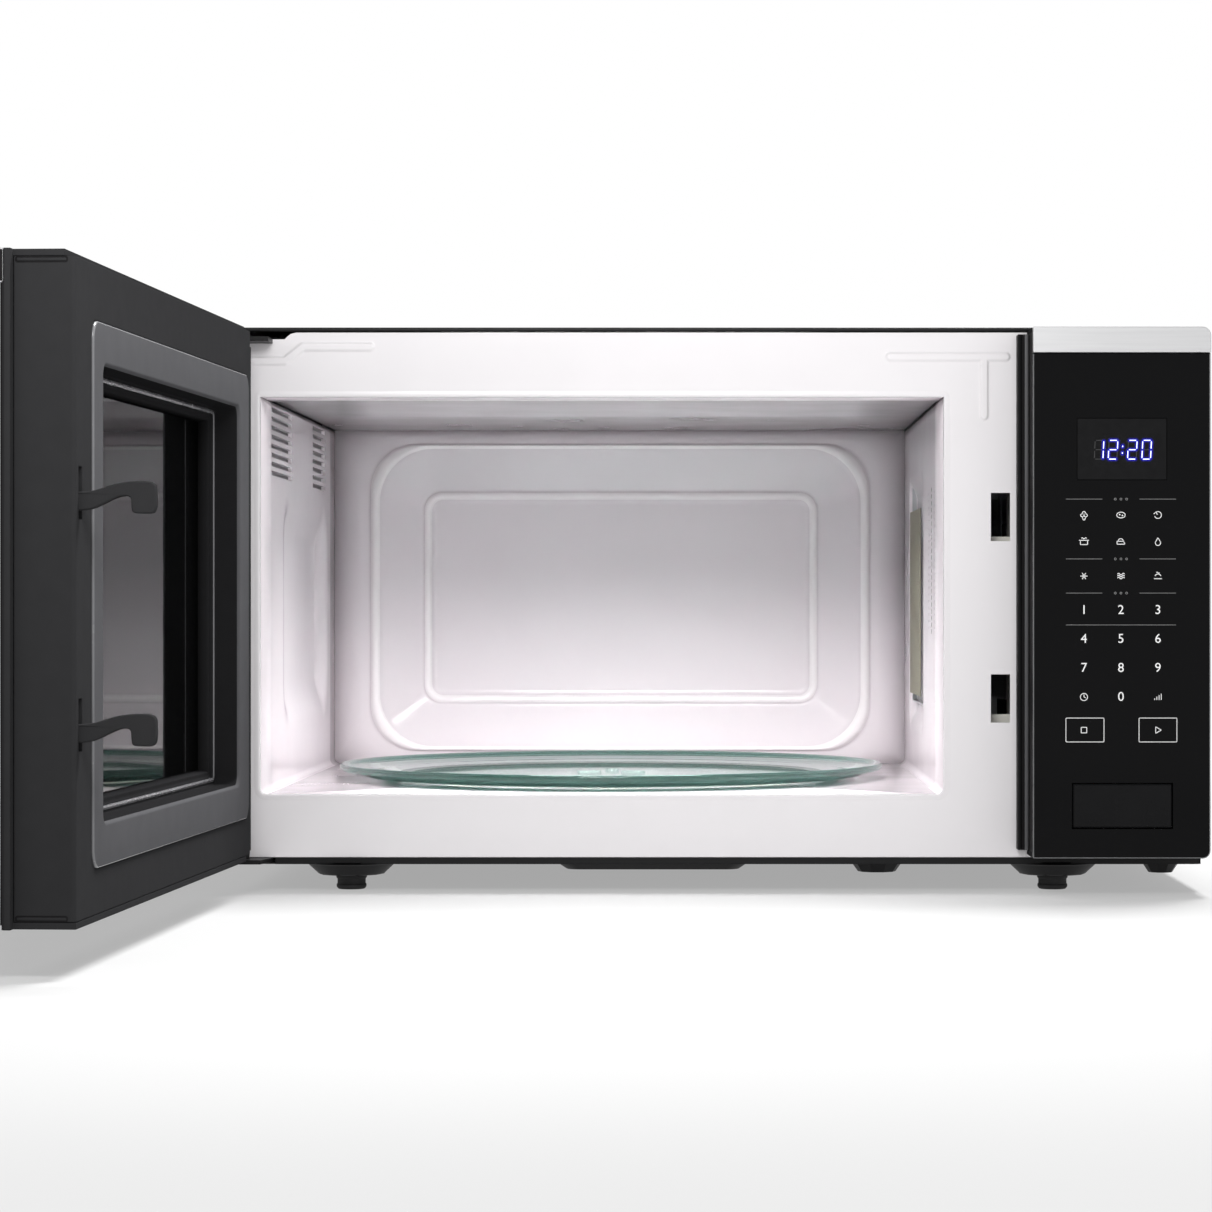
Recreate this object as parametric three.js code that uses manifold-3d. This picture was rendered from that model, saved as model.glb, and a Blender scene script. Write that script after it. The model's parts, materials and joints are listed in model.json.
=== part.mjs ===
// A countertop microwave oven with its side-hinged door standing open, in millimetres, +Z up.
// The body is laid out with X = 0 at its middle, Y = 0 at the control panel's front face and
// Z = 0 under its feet. At the end the whole oven is shifted so that the origin lies under the
// middle of its outer box.
import * as THREE from "three";
import { mergeVertices } from "three/addons/utils/BufferGeometryUtils.js";
import Module from "manifold-3d";

const wasm = await Module();
wasm.setup();

// ---- Driving dimensions ----
const GAP = 0.3; // clearance between touching pieces
const SHEET = 1; // thickness of the steel sheet
const PAST = 5; // how far a cutter runs past the face that it opens
const SLIVER = 0.01; // how far a tapered cutter runs past its mouth

const HALF_WIDTH = 278;
const TOP = 325; // top of the outer case
const BASE = 16; // underside of the base plate
const PLATE_Y = 36; // front face of the enamelled front plate
const BACK_Y = 461; // rear end of the outer case

const FRONT_BOTTOM = 21.9; // lower edge of the door and of the control panel
const FRONT_TOP = 322.2; // upper edge of both
const BAND_BOTTOM = 307.8; // lower edge of the steel trim band
const BAND_PROUD = 2.8; // how far the band stands in front of the glass

// Cooking cavity, inside faces
const CAVITY = { left: -264, right: 130, floor: 56, roof: 285, front: PLATE_Y + SHEET + GAP, back: 426 };
const CAVITY_MID_X = (CAVITY.left + CAVITY.right) / 2;
const TRAY_Y = 231; // centre of the turntable
const WELL_RADIUS = 133; // round well in the cavity floor that holds the roller ring
const WELL_FLOOR = 42.3; // top of the well's floor
const TRAY_RADIUS = 171.5;
const TRAY_UNDER = 56.3; // underside of the glass tray
const TRAY_RIM = 66; // top of its rim
const ROLLER_RADIUS = 6.7;
const ROLLER_TRACK = 118; // distance of the rollers from the centre
const ROLLER_Z = (WELL_FLOOR + TRAY_UNDER) / 2;

// Door, in its closed place
const DOOR = { left: -278, strip: 175.5, right: 170.5, inner: 33 };
const HINGE = { x: -270.6, y: 24 };
const HINGE_SIDE = { radius: 10, slopeStart: -237, slopeEnd: -262, fall: 5.5 }; // rounded off
const PIN_RADIUS = 2.5;
const OPEN_DEGREES = 93; // how far the door stands open at rest
const COVER = { left: -229, right: 141, bottom: 46, top: 293.5, radius: 9 }; // choke cover
const WINDOW = { left: -201, right: 122, bottom: 66, top: 274.3, radius: 6 }; // recess in it
const HINGE_NOTCH = { right: -246, bottom: 312.5 }; // clears the upper hinge plate
const HOOK_X = 162; // middle of the two latch hooks
const HOOK_DROP = 103; // the lower hook is this far under the upper one
const HOOK_Z = 211; // underside of the upper hook's arm
const HOOK_REACH = 35; // how far the hooks stand out of the inner face

// Control panel
const PANEL = { left: 177.7, right: 278, depth: 35.7, radius: 5 };
const FACE_THICKNESS = 2.7;
const DISPLAY = { left: 202.5, right: 253.4, bottom: 235.8, top: 270.8 };
const BUTTON = { left: 200.2, right: 256.3, bottom: 39.1, top: 64.1, tip: 25 };
const LEVER_X = (BUTTON.left + BUTTON.right) / 2;
const LEVER_PIVOT = { y: 30, z: 80 };
const LEVER_HOLE = { half: 17, bottom: 42, top: 100 }; // in the front plate, behind the lever

// Latch slots in the front plate
const SLOT = { left: 157, right: 168, bottom: 202, top: 229.7 };

// ---- Finishes ----
function finish(color, roughness, metalness) {
  return { color, roughness, metalness };
}
const WHITE_ENAMEL = finish(0xebe9ea, 0.35, 0.1);
const BLACK_PAINT = finish(0x262626, 0.5, 0.3);
const BLACK_PLASTIC = finish(0x3a3a3b, 0.5, 0);
const GREY_PLASTIC = finish(0x606062, 0.45, 0);
const GLOSS_BLACK = finish(0x101012, 0.08, 0);
const STEEL_BAND = finish(0xd0d0d0, 0.35, 0.9);
const ZINC_STEEL = finish(0xb4b6b8, 0.4, 0.9);
const MICA = finish(0x82796a, 0.7, 0);
const TRAY_GLASS = finish(0x9fc8c0, 0.05, 0);
const CLEAR_GLASS = finish(0x30343a, 0.05, 0);
const WHITE_PLASTIC = finish(0xe8e6e0, 0.5, 0);
const RUBBER = finish(0x1c1c1c, 0.9, 0);
const COPPER = finish(0xb06a3a, 0.4, 0.8);
const BOARD_GREEN = finish(0x2d5a3a, 0.6, 0);
const ALUMINIUM = finish(0xc8cacc, 0.4, 0.9);

// ---- Solids ----
// A three.js geometry as a closed solid: only the positions count, and shared corners are merged.
function solid(geometry) {
  geometry.deleteAttribute("normal");
  geometry.deleteAttribute("uv");
  const merged = mergeVertices(geometry, 1e-4);
  return new wasm.Manifold(
    new wasm.Mesh({
      numProp: 3,
      vertProperties: new Float32Array(merged.attributes.position.array),
      triVerts: new Uint32Array(merged.index.array),
    }),
  );
}

function join(...solids) {
  return solids.reduce((whole, next) => whole.add(next));
}

function cut(body, ...cutters) {
  return cutters.reduce((whole, next) => whole.subtract(next), body);
}

function block(x0, x1, y0, y1, z0, z1) {
  const box = new THREE.BoxGeometry(x1 - x0, y1 - y0, z1 - z0);
  return solid(box.translate((x0 + x1) / 2, (y0 + y1) / 2, (z0 + z1) / 2));
}

// Turns an extrusion, which runs along +Z from its (x, y) outline, to run along +Y from (x, z).
function standUp(geometry, y1) {
  return geometry.rotateX(Math.PI / 2).translate(0, y1, 0);
}

function alongZ(outline, z0, z1) {
  const options = { depth: z1 - z0, bevelEnabled: false, curveSegments: 5 };
  return solid(new THREE.ExtrudeGeometry(outline, options).translate(0, 0, z0));
}

// The outline holds x and z, and the solid runs from y0 to y1.
function alongY(outline, y0, y1) {
  const options = { depth: y1 - y0, bevelEnabled: false, curveSegments: 5 };
  return solid(standUp(new THREE.ExtrudeGeometry(outline, options), y1));
}

// The outline holds y and z, and the solid runs from x0 to x1.
function alongX(outline, x0, x1) {
  const options = { depth: x1 - x0, bevelEnabled: false, curveSegments: 5 };
  const swap = new THREE.Matrix4().makeBasis(
    new THREE.Vector3(0, 1, 0),
    new THREE.Vector3(0, 0, 1),
    new THREE.Vector3(1, 0, 0),
  );
  return solid(new THREE.ExtrudeGeometry(outline, options).applyMatrix4(swap).translate(x0, 0, 0));
}

function roundedRectangle(left, right, bottom, top, radius) {
  const r = Math.min(radius, (right - left) / 2, (top - bottom) / 2);
  const shape = new THREE.Shape();
  shape.moveTo(left + r, bottom);
  shape.lineTo(right - r, bottom);
  shape.absarc(right - r, bottom + r, r, -Math.PI / 2, 0);
  shape.lineTo(right, top - r);
  shape.absarc(right - r, top - r, r, 0, Math.PI / 2);
  shape.lineTo(left + r, top);
  shape.absarc(left + r, top - r, r, Math.PI / 2, Math.PI);
  shape.lineTo(left, bottom + r);
  shape.absarc(left + r, bottom + r, r, Math.PI, 1.5 * Math.PI);
  return shape;
}

function polygon(points) {
  return new THREE.Shape(points.map(([a, b]) => new THREE.Vector2(a, b)));
}

// A round bar along one axis, through the given point, from a to b along it.
function rod(axis, centre, a, b, radius, sides = 16) {
  const bar = new THREE.CylinderGeometry(radius, radius, b - a, sides);
  if (axis === "x") bar.rotateZ(-Math.PI / 2);
  if (axis === "z") bar.rotateX(Math.PI / 2);
  const [x, y, z] = centre;
  const middle = (a + b) / 2;
  const place = { x: [middle, y, z], y: [x, middle, z], z: [x, y, middle] }[axis];
  return solid(bar.translate(...place));
}

// A turned piece about the vertical line through (x, y); each profile point is [radius, z].
function turned(profile, x, y, sides = 32) {
  const points = profile.map(([radius, z]) => new THREE.Vector2(radius, z));
  const lathe = new THREE.LatheGeometry(points, sides).rotateX(Math.PI / 2);
  return solid(lathe.translate(x, y, 0));
}

// A tapered block: the outline at `flat` grows by `spread` all round on its way to `mouth`.
// It runs along Z, or along Y where the outline holds x and z.
function tapered(outline, flat, mouth, spread, axis = "z") {
  const side = axis === "y" ? -1 : 1;
  const low = Math.min(side * flat, side * mouth);
  const high = Math.max(side * flat, side * mouth);
  const options = { depth: high - low, bevelEnabled: false, curveSegments: 5 };
  const shape = new THREE.ExtrudeGeometry(outline, options).translate(0, 0, low);
  const position = shape.attributes.position;
  const bounds = new THREE.Box3().setFromBufferAttribute(position);
  const middle = bounds.getCenter(new THREE.Vector3());
  const size = bounds.getSize(new THREE.Vector3());
  const growX = (size.x + 2 * spread) / size.x;
  const growY = (size.y + 2 * spread) / size.y;
  for (let i = 0; i < position.count; i++) {
    const atMouth = Math.abs(position.getZ(i) - side * mouth) < Math.abs(position.getZ(i) - side * flat);
    if (!atMouth) continue;
    position.setX(i, middle.x + (position.getX(i) - middle.x) * growX);
    position.setY(i, middle.y + (position.getY(i) - middle.y) * growY);
  }
  if (axis === "y") shape.rotateX(Math.PI / 2);
  return solid(shape);
}

function circle(x, y, radius) {
  return new THREE.Shape().absarc(x, y, radius, 0, 2 * Math.PI);
}

// ---- Cabinet sheet metal ----
const CASE_SCREWS = [
  [-250, 317],
  [250, 317],
];
const CASE_FLANGE = 14; // width of the rear edge that is turned inwards
const SCREW_HOLE = 2.4;
const GLAND = { x: 225, z: 60, radius: 8, collar: 3, bore: 4 };
const REAR_SLOTS = {
  first: 120,
  rows: 9,
  pitch: 9,
  height: 4,
  lift: 60,
  intake: [165, 245],
  outlet: [-200, -140],
};

function outerCase() {
  const front = PLATE_Y + SHEET + GAP;
  const inside = HALF_WIDTH - SHEET;
  const wrap = cut(
    block(-HALF_WIDTH, HALF_WIDTH, front, BACK_Y, BASE, TOP),
    block(-inside, inside, front - PAST, BACK_Y + PAST, BASE - PAST, TOP - SHEET),
  );
  const hem = block(-HALF_WIDTH, HALF_WIDTH, PLATE_Y, front + PAST, FRONT_TOP + GAP, TOP);
  const flangeY = BACK_Y - SHEET;
  const rim = cut(
    block(-inside - SHEET / 2, inside + SHEET / 2, flangeY, BACK_Y, BASE, TOP - SHEET / 2),
    block(
      CASE_FLANGE - inside,
      inside - CASE_FLANGE,
      flangeY - PAST,
      BACK_Y + PAST,
      BASE - PAST,
      TOP - CASE_FLANGE,
    ),
  );
  const screwHoles = CASE_SCREWS.map(([x, z]) =>
    rod("y", [x, 0, z], BACK_Y - 2, BACK_Y + PAST, SCREW_HOLE, 12),
  );
  return cut(join(wrap, hem, rim), ...screwHoles);
}

function rearPanel() {
  const back = BACK_Y - SHEET - GAP;
  const edge = HALF_WIDTH - SHEET - GAP;
  const sheet = block(-edge, edge, back - SHEET, back, BASE + SHEET + GAP, TOP - SHEET - GAP);
  const slots = [];
  const { first, rows, pitch, height, lift, intake, outlet } = REAR_SLOTS;
  for (let row = 0; row < rows; row++) {
    const z = first + row * pitch;
    slots.push(block(...intake, back - PAST, back + PAST, z, z + height));
    slots.push(block(...outlet, back - PAST, back + PAST, z + lift, z + lift + height));
  }
  const glandHole = rod("y", [GLAND.x, 0, GLAND.z], back - PAST, back + PAST, GLAND.radius + GAP, 20);
  const screwHoles = CASE_SCREWS.map(([x, z]) =>
    rod("y", [x, 0, z], back - PAST, back + PAST, SCREW_HOLE, 12),
  );
  return cut(sheet, ...slots, glandHole, ...screwHoles);
}

function cordGland() {
  const back = BACK_Y - SHEET - GAP;
  const bush = join(
    rod("y", [GLAND.x, 0, GLAND.z], back - 6, back + 3, GLAND.radius, 20),
    rod("y", [GLAND.x, 0, GLAND.z], back + GAP, back + 2.8, GLAND.radius + GLAND.collar, 20),
  );
  return cut(bush, rod("y", [GLAND.x, 0, GLAND.z], back - 12, back + 8, GLAND.bore, 16));
}

// The base plate is pressed down into four cones for the feet and three stiffening bumps.
const FEET = [
  { name: "front_left", x: -213.6, y: 60 },
  { name: "front_right", x: 194.8, y: 60 },
  { name: "rear_left", x: -213.6, y: 415 },
  { name: "rear_right", x: 194.8, y: 415 },
];
const MOUND = { flat: 8.8, top: 19, bottom: 25.5 };
const FOOT_RADIUS = 8.9;
const FOOT_STEM = 3.2;
const ROUND_BUMPS = [
  { x: 92.5, y: 62, z: 10, flat: 11, mouth: 16 },
  { x: 258, y: 62, z: 9.5, flat: 7, mouth: 12 },
];
const LONG_BUMP = { left: -88, right: 12, front: 48, back: 90, radius: 8, z: 12, spread: 7 };
const PLATE_BOTTOM = 20; // lower edge of the front plate

function mound(x, y, flatZ, flatRadius, mouthRadius) {
  const spread = mouthRadius - flatRadius;
  const outer = tapered(circle(x, y, flatRadius), flatZ, BASE + SHEET, spread);
  const hollow = tapered(circle(x, y, flatRadius - SHEET), flatZ + SHEET, BASE + SHEET + SLIVER, spread);
  return [outer, hollow];
}

function basePlate() {
  const edge = HALF_WIDTH - SHEET - GAP;
  const front = PLATE_Y + SHEET + GAP;
  const back = BACK_Y - SHEET - GAP - SHEET - GAP;
  const sheet = block(-edge, edge, front, back, BASE, BASE + SHEET);
  const flange = block(-255, edge, PLATE_Y, front + SHEET, BASE, PLATE_BOTTOM - GAP);
  const pressings = FEET.map(({ x, y }) => mound(x, y, MOUND.flat, MOUND.top, MOUND.bottom));
  pressings.push(...ROUND_BUMPS.map(({ x, y, z, flat, mouth }) => mound(x, y, z, flat, mouth)));
  const { left, right, front: near, back: far, radius, z, spread } = LONG_BUMP;
  const wide = roundedRectangle(left, right, near, far, radius);
  const inside = roundedRectangle(left + SHEET, right - SHEET, near + SHEET, far - SHEET, radius - SHEET);
  pressings.push([
    tapered(wide, z, BASE + SHEET, spread),
    tapered(inside, z + SHEET, BASE + SHEET + SLIVER, spread),
  ]);
  const outside = pressings.map(([outer]) => outer);
  const hollows = pressings.map(([, hollow]) => hollow);
  const footHoles = FEET.map(({ x, y }) => rod("z", [x, y, 0], 5, 15, FOOT_STEM + GAP, 12));
  return cut(join(sheet, flange, ...outside), ...hollows, ...footHoles);
}

function foot({ x, y }) {
  const profile = [
    [0, 0],
    [FOOT_RADIUS - 1.5, 0],
    [FOOT_RADIUS, 1.5],
    [FOOT_RADIUS - 0.6, MOUND.flat - GAP],
    [FOOT_STEM, MOUND.flat - GAP],
    [FOOT_STEM, MOUND.flat + 3],
    [0, MOUND.flat + 3],
  ];
  return turned(profile, x, y, 24);
}

// ---- Front plate ----
const EMBOSS_WIDTH = 4.6;
const EMBOSS_HEIGHT = 0.8;
const EMBOSSES = [
  [[-266.7, 305.6], [-249.4, 305.6]],
  [[-249.4, 305.6], [-239.1, 313.7]],
  [[-239.1, 313.7], [-200.5, 313.7]],
  [[98.9, 308], [165.6, 308]],
  [[153, 308], [153, 274]],
];

// A raised rounded bar on the plate, from one point to another.
function emboss([[x0, z0], [x1, z1]]) {
  const length = Math.hypot(x1 - x0, z1 - z0);
  const half = EMBOSS_WIDTH / 2 - EMBOSS_HEIGHT;
  const bar = roundedRectangle(-half, length + half, -half, half, half);
  const shape = tapered(bar, 0, EMBOSS_HEIGHT + 0.2, EMBOSS_HEIGHT, "y");
  const degrees = (-Math.atan2(z1 - z0, x1 - x0) * 180) / Math.PI;
  return shape.rotate([0, degrees, 0]).translate([x0, PLATE_Y - EMBOSS_HEIGHT, z0]);
}

function frontPlate() {
  const left = -HALF_WIDTH;
  const right = HALF_WIDTH - SHEET;
  const top = 322;
  const low = 315.3; // top edge over the upper hinge
  const outline = new THREE.Shape();
  outline.moveTo(left, PLATE_BOTTOM);
  outline.lineTo(right, PLATE_BOTTOM);
  outline.lineTo(right, top);
  outline.lineTo(-243, top);
  outline.bezierCurveTo(-249, top, -249, low, -256, low);
  outline.lineTo(left, low);
  const sheet = alongY(outline, PLATE_Y, PLATE_Y + SHEET);
  const r = 4; // radius of the mouth's lower corners
  const mouth = new THREE.Shape();
  mouth.moveTo(CAVITY.left + r, CAVITY.floor);
  mouth.lineTo(CAVITY.right - r, CAVITY.floor);
  mouth.absarc(CAVITY.right - r, CAVITY.floor + r, r, -Math.PI / 2, 0);
  mouth.lineTo(CAVITY.right, CAVITY.roof);
  mouth.lineTo(CAVITY.left, CAVITY.roof);
  mouth.lineTo(CAVITY.left, CAVITY.floor + r);
  mouth.absarc(CAVITY.left + r, CAVITY.floor + r, r, Math.PI, 1.5 * Math.PI);
  const latchSlots = [0, HOOK_DROP + 1.5].map((drop) =>
    block(SLOT.left, SLOT.right, PLATE_Y - PAST, PLATE_Y + PAST, SLOT.bottom - drop, SLOT.top - drop),
  );
  const { half, bottom, top: holeTop } = LEVER_HOLE;
  const leverHole = block(
    LEVER_X - half,
    LEVER_X + half,
    PLATE_Y - PAST,
    PLATE_Y + PAST,
    bottom,
    holeTop,
  );
  const mouthCutter = alongY(mouth, PLATE_Y - PAST, PLATE_Y + PAST);
  return cut(join(sheet, ...EMBOSSES.map(emboss)), mouthCutter, ...latchSlots, leverHole);
}

// ---- Cooking cavity ----
const LEFT_VENTS = { groups: [[89, 185], [296, 364]], bottom: 242, rows: 8, pitch: 5.36, height: 2.8 };
const WAVEGUIDE_MOUTH = { front: 246, back: 343, bottom: 112, top: 222 };
const WALL_ABOVE_ROOF = 6; // how far the side and back walls rise past the ceiling
const LAMP = { y: 168, z: 192, radius: 15 };

function cavityShell() {
  const { left, right, floor, front, back } = CAVITY;
  const top = CAVITY.roof + WALL_ABOVE_ROOF;
  const u = cut(
    block(left - SHEET, right + SHEET, front, back, floor - SHEET, top),
    block(left, right, front - PAST, back + PAST, floor, top + PAST),
  );
  const centre = [CAVITY_MID_X, TRAY_Y, 0];
  const well = rod("z", centre, WELL_FLOOR - SHEET, floor - SHEET / 2, WELL_RADIUS + SHEET, 64);
  const wellHollow = rod("z", centre, WELL_FLOOR, floor + PAST, WELL_RADIUS, 64);
  const shaftHole = rod("z", centre, WELL_FLOOR - PAST, floor, 8, 16);
  const vents = [];
  for (const [y0, y1] of LEFT_VENTS.groups) {
    for (let row = 0; row < LEFT_VENTS.rows; row++) {
      const z = LEFT_VENTS.bottom + row * LEFT_VENTS.pitch;
      vents.push(block(left - PAST, left + PAST, y0, y1, z, z + LEFT_VENTS.height));
    }
  }
  const { front: w0, back: w1, bottom, top: w3 } = WAVEGUIDE_MOUTH;
  const waveguideHole = block(right - PAST, right + PAST, w0, w1, bottom, w3);
  const lampHole = rod("x", [0, LAMP.y, LAMP.z], right - PAST, right + PAST, LAMP.radius - 3, 20);
  return cut(join(u, well), wellHollow, shaftHole, waveguideHole, lampHole, ...vents);
}

function cavityCeiling() {
  const { left, right, roof, front, back } = CAVITY;
  return block(left + GAP, right - GAP, front, back, roof, roof + SHEET);
}

// The back wall has one large pressing: a flat middle with sides that slope towards the cavity.
const PRESSING = {
  left: -199,
  right: 66,
  bottom: 101.4,
  top: 239.7,
  radius: 8,
  depth: 19,
  spread: 35,
};

function cavityBackWall() {
  const { left, right, roof, floor, back } = CAVITY;
  const y = back + GAP;
  const wall = block(left - SHEET, right + SHEET, y, y + SHEET, floor - SHEET, roof + WALL_ABOVE_ROOF);
  const { left: a, right: b, bottom, top, radius, depth, spread } = PRESSING;
  const hollow = tapered(roundedRectangle(a, b, bottom, top, radius), y + depth, y - SLIVER, spread, "y");
  const outside = roundedRectangle(a - SHEET, b + SHEET, bottom - SHEET, top + SHEET, radius + SHEET);
  return cut(join(wall, tapered(outside, y + depth + SHEET, y, spread, "y")), hollow);
}

function waveguideCover() {
  const x = CAVITY.right - GAP;
  return block(x - 0.5, x, 242, 347, 107, 227);
}

const DUCT = { x0: 131.3, x1: 172, y0: 236, y1: 354, z0: 101, z1: 262 };
const ANTENNA = { y: 295, z: 238, radius: 9 };

function waveguide() {
  const wall = 1.2;
  const { x0, x1, y0, y1, z0, z1 } = DUCT;
  return cut(
    block(x0, x1, y0, y1, z0, z1),
    block(x0 - PAST, x1 - wall, y0 + wall, y1 - wall, z0 + wall, z1 - wall),
    rod("x", [0, ANTENNA.y, ANTENNA.z], x1 - PAST, x1 + PAST, ANTENNA.radius + 2, 16),
  );
}

// ---- Turntable ----
function turntableMotor() {
  const housing = rod("z", [CAVITY_MID_X, TRAY_Y, 0], 23, WELL_FLOOR - SHEET - GAP, 25, 24);
  const ears = block(CAVITY_MID_X - 34, CAVITY_MID_X + 34, TRAY_Y - 6, TRAY_Y + 6, 38, 40);
  const bore = rod("z", [CAVITY_MID_X, TRAY_Y, 0], 28, 50, 3.3, 12);
  return cut(join(housing, ears), bore);
}

// The coupler's three lobes drive three lugs under the glass tray.
function lobes(count, inner, outer, z0, z1, halfWidth, turn) {
  return Array.from({ length: count }, (_, i) => {
    const arm = block(inner, outer, -halfWidth, halfWidth, z0, z1);
    return arm.rotate([0, 0, turn + (i * 360) / count]).translate([CAVITY_MID_X, TRAY_Y, 0]);
  });
}

function turntableCoupler() {
  const shaft = rod("z", [CAVITY_MID_X, TRAY_Y, 0], 28.5, WELL_FLOOR + 3, 3, 12);
  const hub = rod("z", [CAVITY_MID_X, TRAY_Y, 0], WELL_FLOOR + 2, TRAY_UNDER - 1, 9, 18);
  return join(shaft, hub, ...lobes(3, 0, 19, WELL_FLOOR + 4, TRAY_UNDER - 1, 4, 30));
}

function rollerRing() {
  const centre = [CAVITY_MID_X, TRAY_Y, 0];
  const ring = cut(
    rod("z", centre, ROLLER_Z - 2, ROLLER_Z + 2, 106, 48),
    rod("z", centre, ROLLER_Z - PAST, ROLLER_Z + PAST, 99, 48),
  );
  const stubs = rollerTurns().map((turn) =>
    rod("x", [0, 0, ROLLER_Z], 103, 127, 1.9, 10).rotate([0, 0, turn]).translate([CAVITY_MID_X, TRAY_Y, 0]),
  );
  return join(ring, ...stubs);
}

function rollerTurns() {
  return [30, 150, 270];
}

function roller(turn) {
  const wheel = cut(
    rod("x", [0, 0, ROLLER_Z], ROLLER_TRACK - 5, ROLLER_TRACK + 5, ROLLER_RADIUS, 24),
    rod("x", [0, 0, ROLLER_Z], 100, 140, 2.2, 12),
  );
  return wheel.rotate([0, 0, turn]).translate([CAVITY_MID_X, TRAY_Y, 0]);
}

function glassTray() {
  const under = TRAY_UNDER;
  const profile = [
    [0, under],
    [WELL_RADIUS - 1, under],
    [TRAY_RADIUS - 12, under + 2.4],
    [TRAY_RADIUS - 2, TRAY_RIM - 3],
    [TRAY_RADIUS, TRAY_RIM - 1.2],
    [TRAY_RADIUS - 1.4, TRAY_RIM],
    [TRAY_RADIUS - 4.6, TRAY_RIM - 0.8],
    [TRAY_RADIUS - 14, under + 6.2],
    [WELL_RADIUS - 3, under + 3.8],
    [0, under + 3.8],
  ];
  const dish = turned(profile, CAVITY_MID_X, TRAY_Y, 60);
  return join(dish, ...lobes(3, 11, 19, under - 7, under + 1, 4, 90));
}

// ---- Microwave generator, behind the control panel ----
const CORE = { x0: 150, x1: 250, y0: 100, y1: 160, z0: 17.3, z1: 92 };

function transformerCore() {
  const { x0, x1, y0, y1, z0, z1 } = CORE;
  const windows = [
    [165, 183],
    [217, 235],
  ];
  const openings = windows.map(([a, b]) => block(a, b, y0 - PAST, y1 + PAST, 32, 78));
  return cut(block(x0, x1, y0, y1, z0, z1), ...openings);
}

function transformerWindings() {
  const { y0, y1 } = CORE;
  const outer = alongZ(roundedRectangle(165.4, 234.6, y0 - 15, y1 + 15, 12), 33, 77);
  return cut(outer, block(182.6, 217.4, y0 - GAP, y1 + GAP, 30, 80));
}

function highVoltageCapacitor() {
  const can = alongZ(roundedRectangle(150, 220, 186, 222, 18), 17.3, 96);
  const terminals = [172, 198].map((x) => block(x - 3, x + 3, 203.6, 204.4, 95, 108));
  return join(can, ...terminals);
}

function magnetronYoke() {
  const x0 = DUCT.x1 + GAP;
  const frame = cut(block(x0, 240, 255, 335, 195, 281), block(x0 + 2, 238, 250, 340, 197, 279));
  return cut(frame, rod("x", [0, ANTENNA.y, ANTENNA.z], 160, x0 + 5, ANTENNA.radius + 2, 16));
}

function magnetronTube() {
  const centre = [0, ANTENNA.y, ANTENNA.z];
  const anode = rod("x", centre, DUCT.x1 + GAP + 2.3, 237.7, 20, 14);
  const antenna = rod("x", centre, 148, DUCT.x1 + 8, ANTENNA.radius, 12);
  const fins = Array.from({ length: 7 }, (_, i) => {
    const x = 182 + i * 8;
    return block(x, x + 1, 258, 332, 197.3, 278.7);
  });
  return join(anode, antenna, ...fins);
}

function magnetronFilterBox() {
  return block(240.3, 266, 262, 328, 208, 268);
}

function lineFilterBoard() {
  const board = block(145, 262, 362, 424, 290, 291.6);
  const parts = [
    rod("z", [165, 380, 0], 291, 309, 11, 16),
    block(190, 216, 372, 398, 291, 307),
    block(228, 252, 368, 392, 291, 301),
    block(200, 240, 404, 416, 291, 299),
  ];
  return join(board, ...parts);
}

function cavityLamp() {
  const profile = [
    [0, 0],
    [7, 1.5],
    [12, 8],
    [12, 16],
    [8, 24],
    [8, 34],
    [12, 34],
    [12, 44],
    [0, 44],
  ];
  const points = profile.map(([radius, x]) => new THREE.Vector2(radius, x));
  const lathe = new THREE.LatheGeometry(points, 20).rotateZ(-Math.PI / 2);
  return solid(lathe.translate(133, LAMP.y, LAMP.z));
}

function thermalCutout() {
  const z = CAVITY.roof + SHEET + GAP;
  const cap = rod("z", [60, 300, 0], z, z + 9, 8, 20);
  const tags = [52, 68].map((x) => block(x - 3, x + 3, 299.6, 300.4, z + 5, z + 16));
  return join(cap, ...tags);
}

// ---- Cooling fan ----
const FAN = { x: 205, z: 155, y0: 430, y1: 456, radius: 52 };

function fanShroud() {
  const { x, z, y0, y1, radius } = FAN;
  const ring = cut(
    block(x - 66, x + 66, y0, y1, z - 66, z + 66),
    rod("y", [x, 0, z], y0 - PAST, y1 + PAST, radius + 4, 32),
  );
  const bars = [-14, 14].map((dz) => block(x - 66, x + 66, y0 - 3, y0 + 1, z + dz - 3, z + dz + 3));
  return join(ring, ...bars);
}

function fanMotor() {
  const { x, z, y0 } = FAN;
  const back = y0 - 3 - GAP;
  const frame = block(x - 30, x + 30, back - 24, back, z - 32, z + 28);
  const coil = block(x - 18, x + 18, back - 34, back - 2, z - 52, z - 30);
  return cut(join(frame, coil), rod("y", [x, 0, z], back - 30, back + PAST, 2.8, 12));
}

function fanBlade() {
  const { x, z, y0, radius } = FAN;
  const shaft = rod("y", [x, 0, z], y0 - 18, y0 + 8, 2.5, 12);
  const hub = rod("y", [x, 0, z], y0 + 5, y0 + 21, 13, 20);
  const blades = Array.from({ length: 5 }, (_, i) => {
    const vane = block(8, radius - 1, -1, 1, -15, 15).rotate([52, 0, 0]);
    return vane.rotate([0, (i * 360) / 5, 0]).translate([x, y0 + 13.5, z]);
  });
  const limit = rod("y", [x, 0, z], y0 + 3, y0 + 24, radius, 32);
  return join(shaft, hub, join(...blades).intersect(limit));
}

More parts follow.
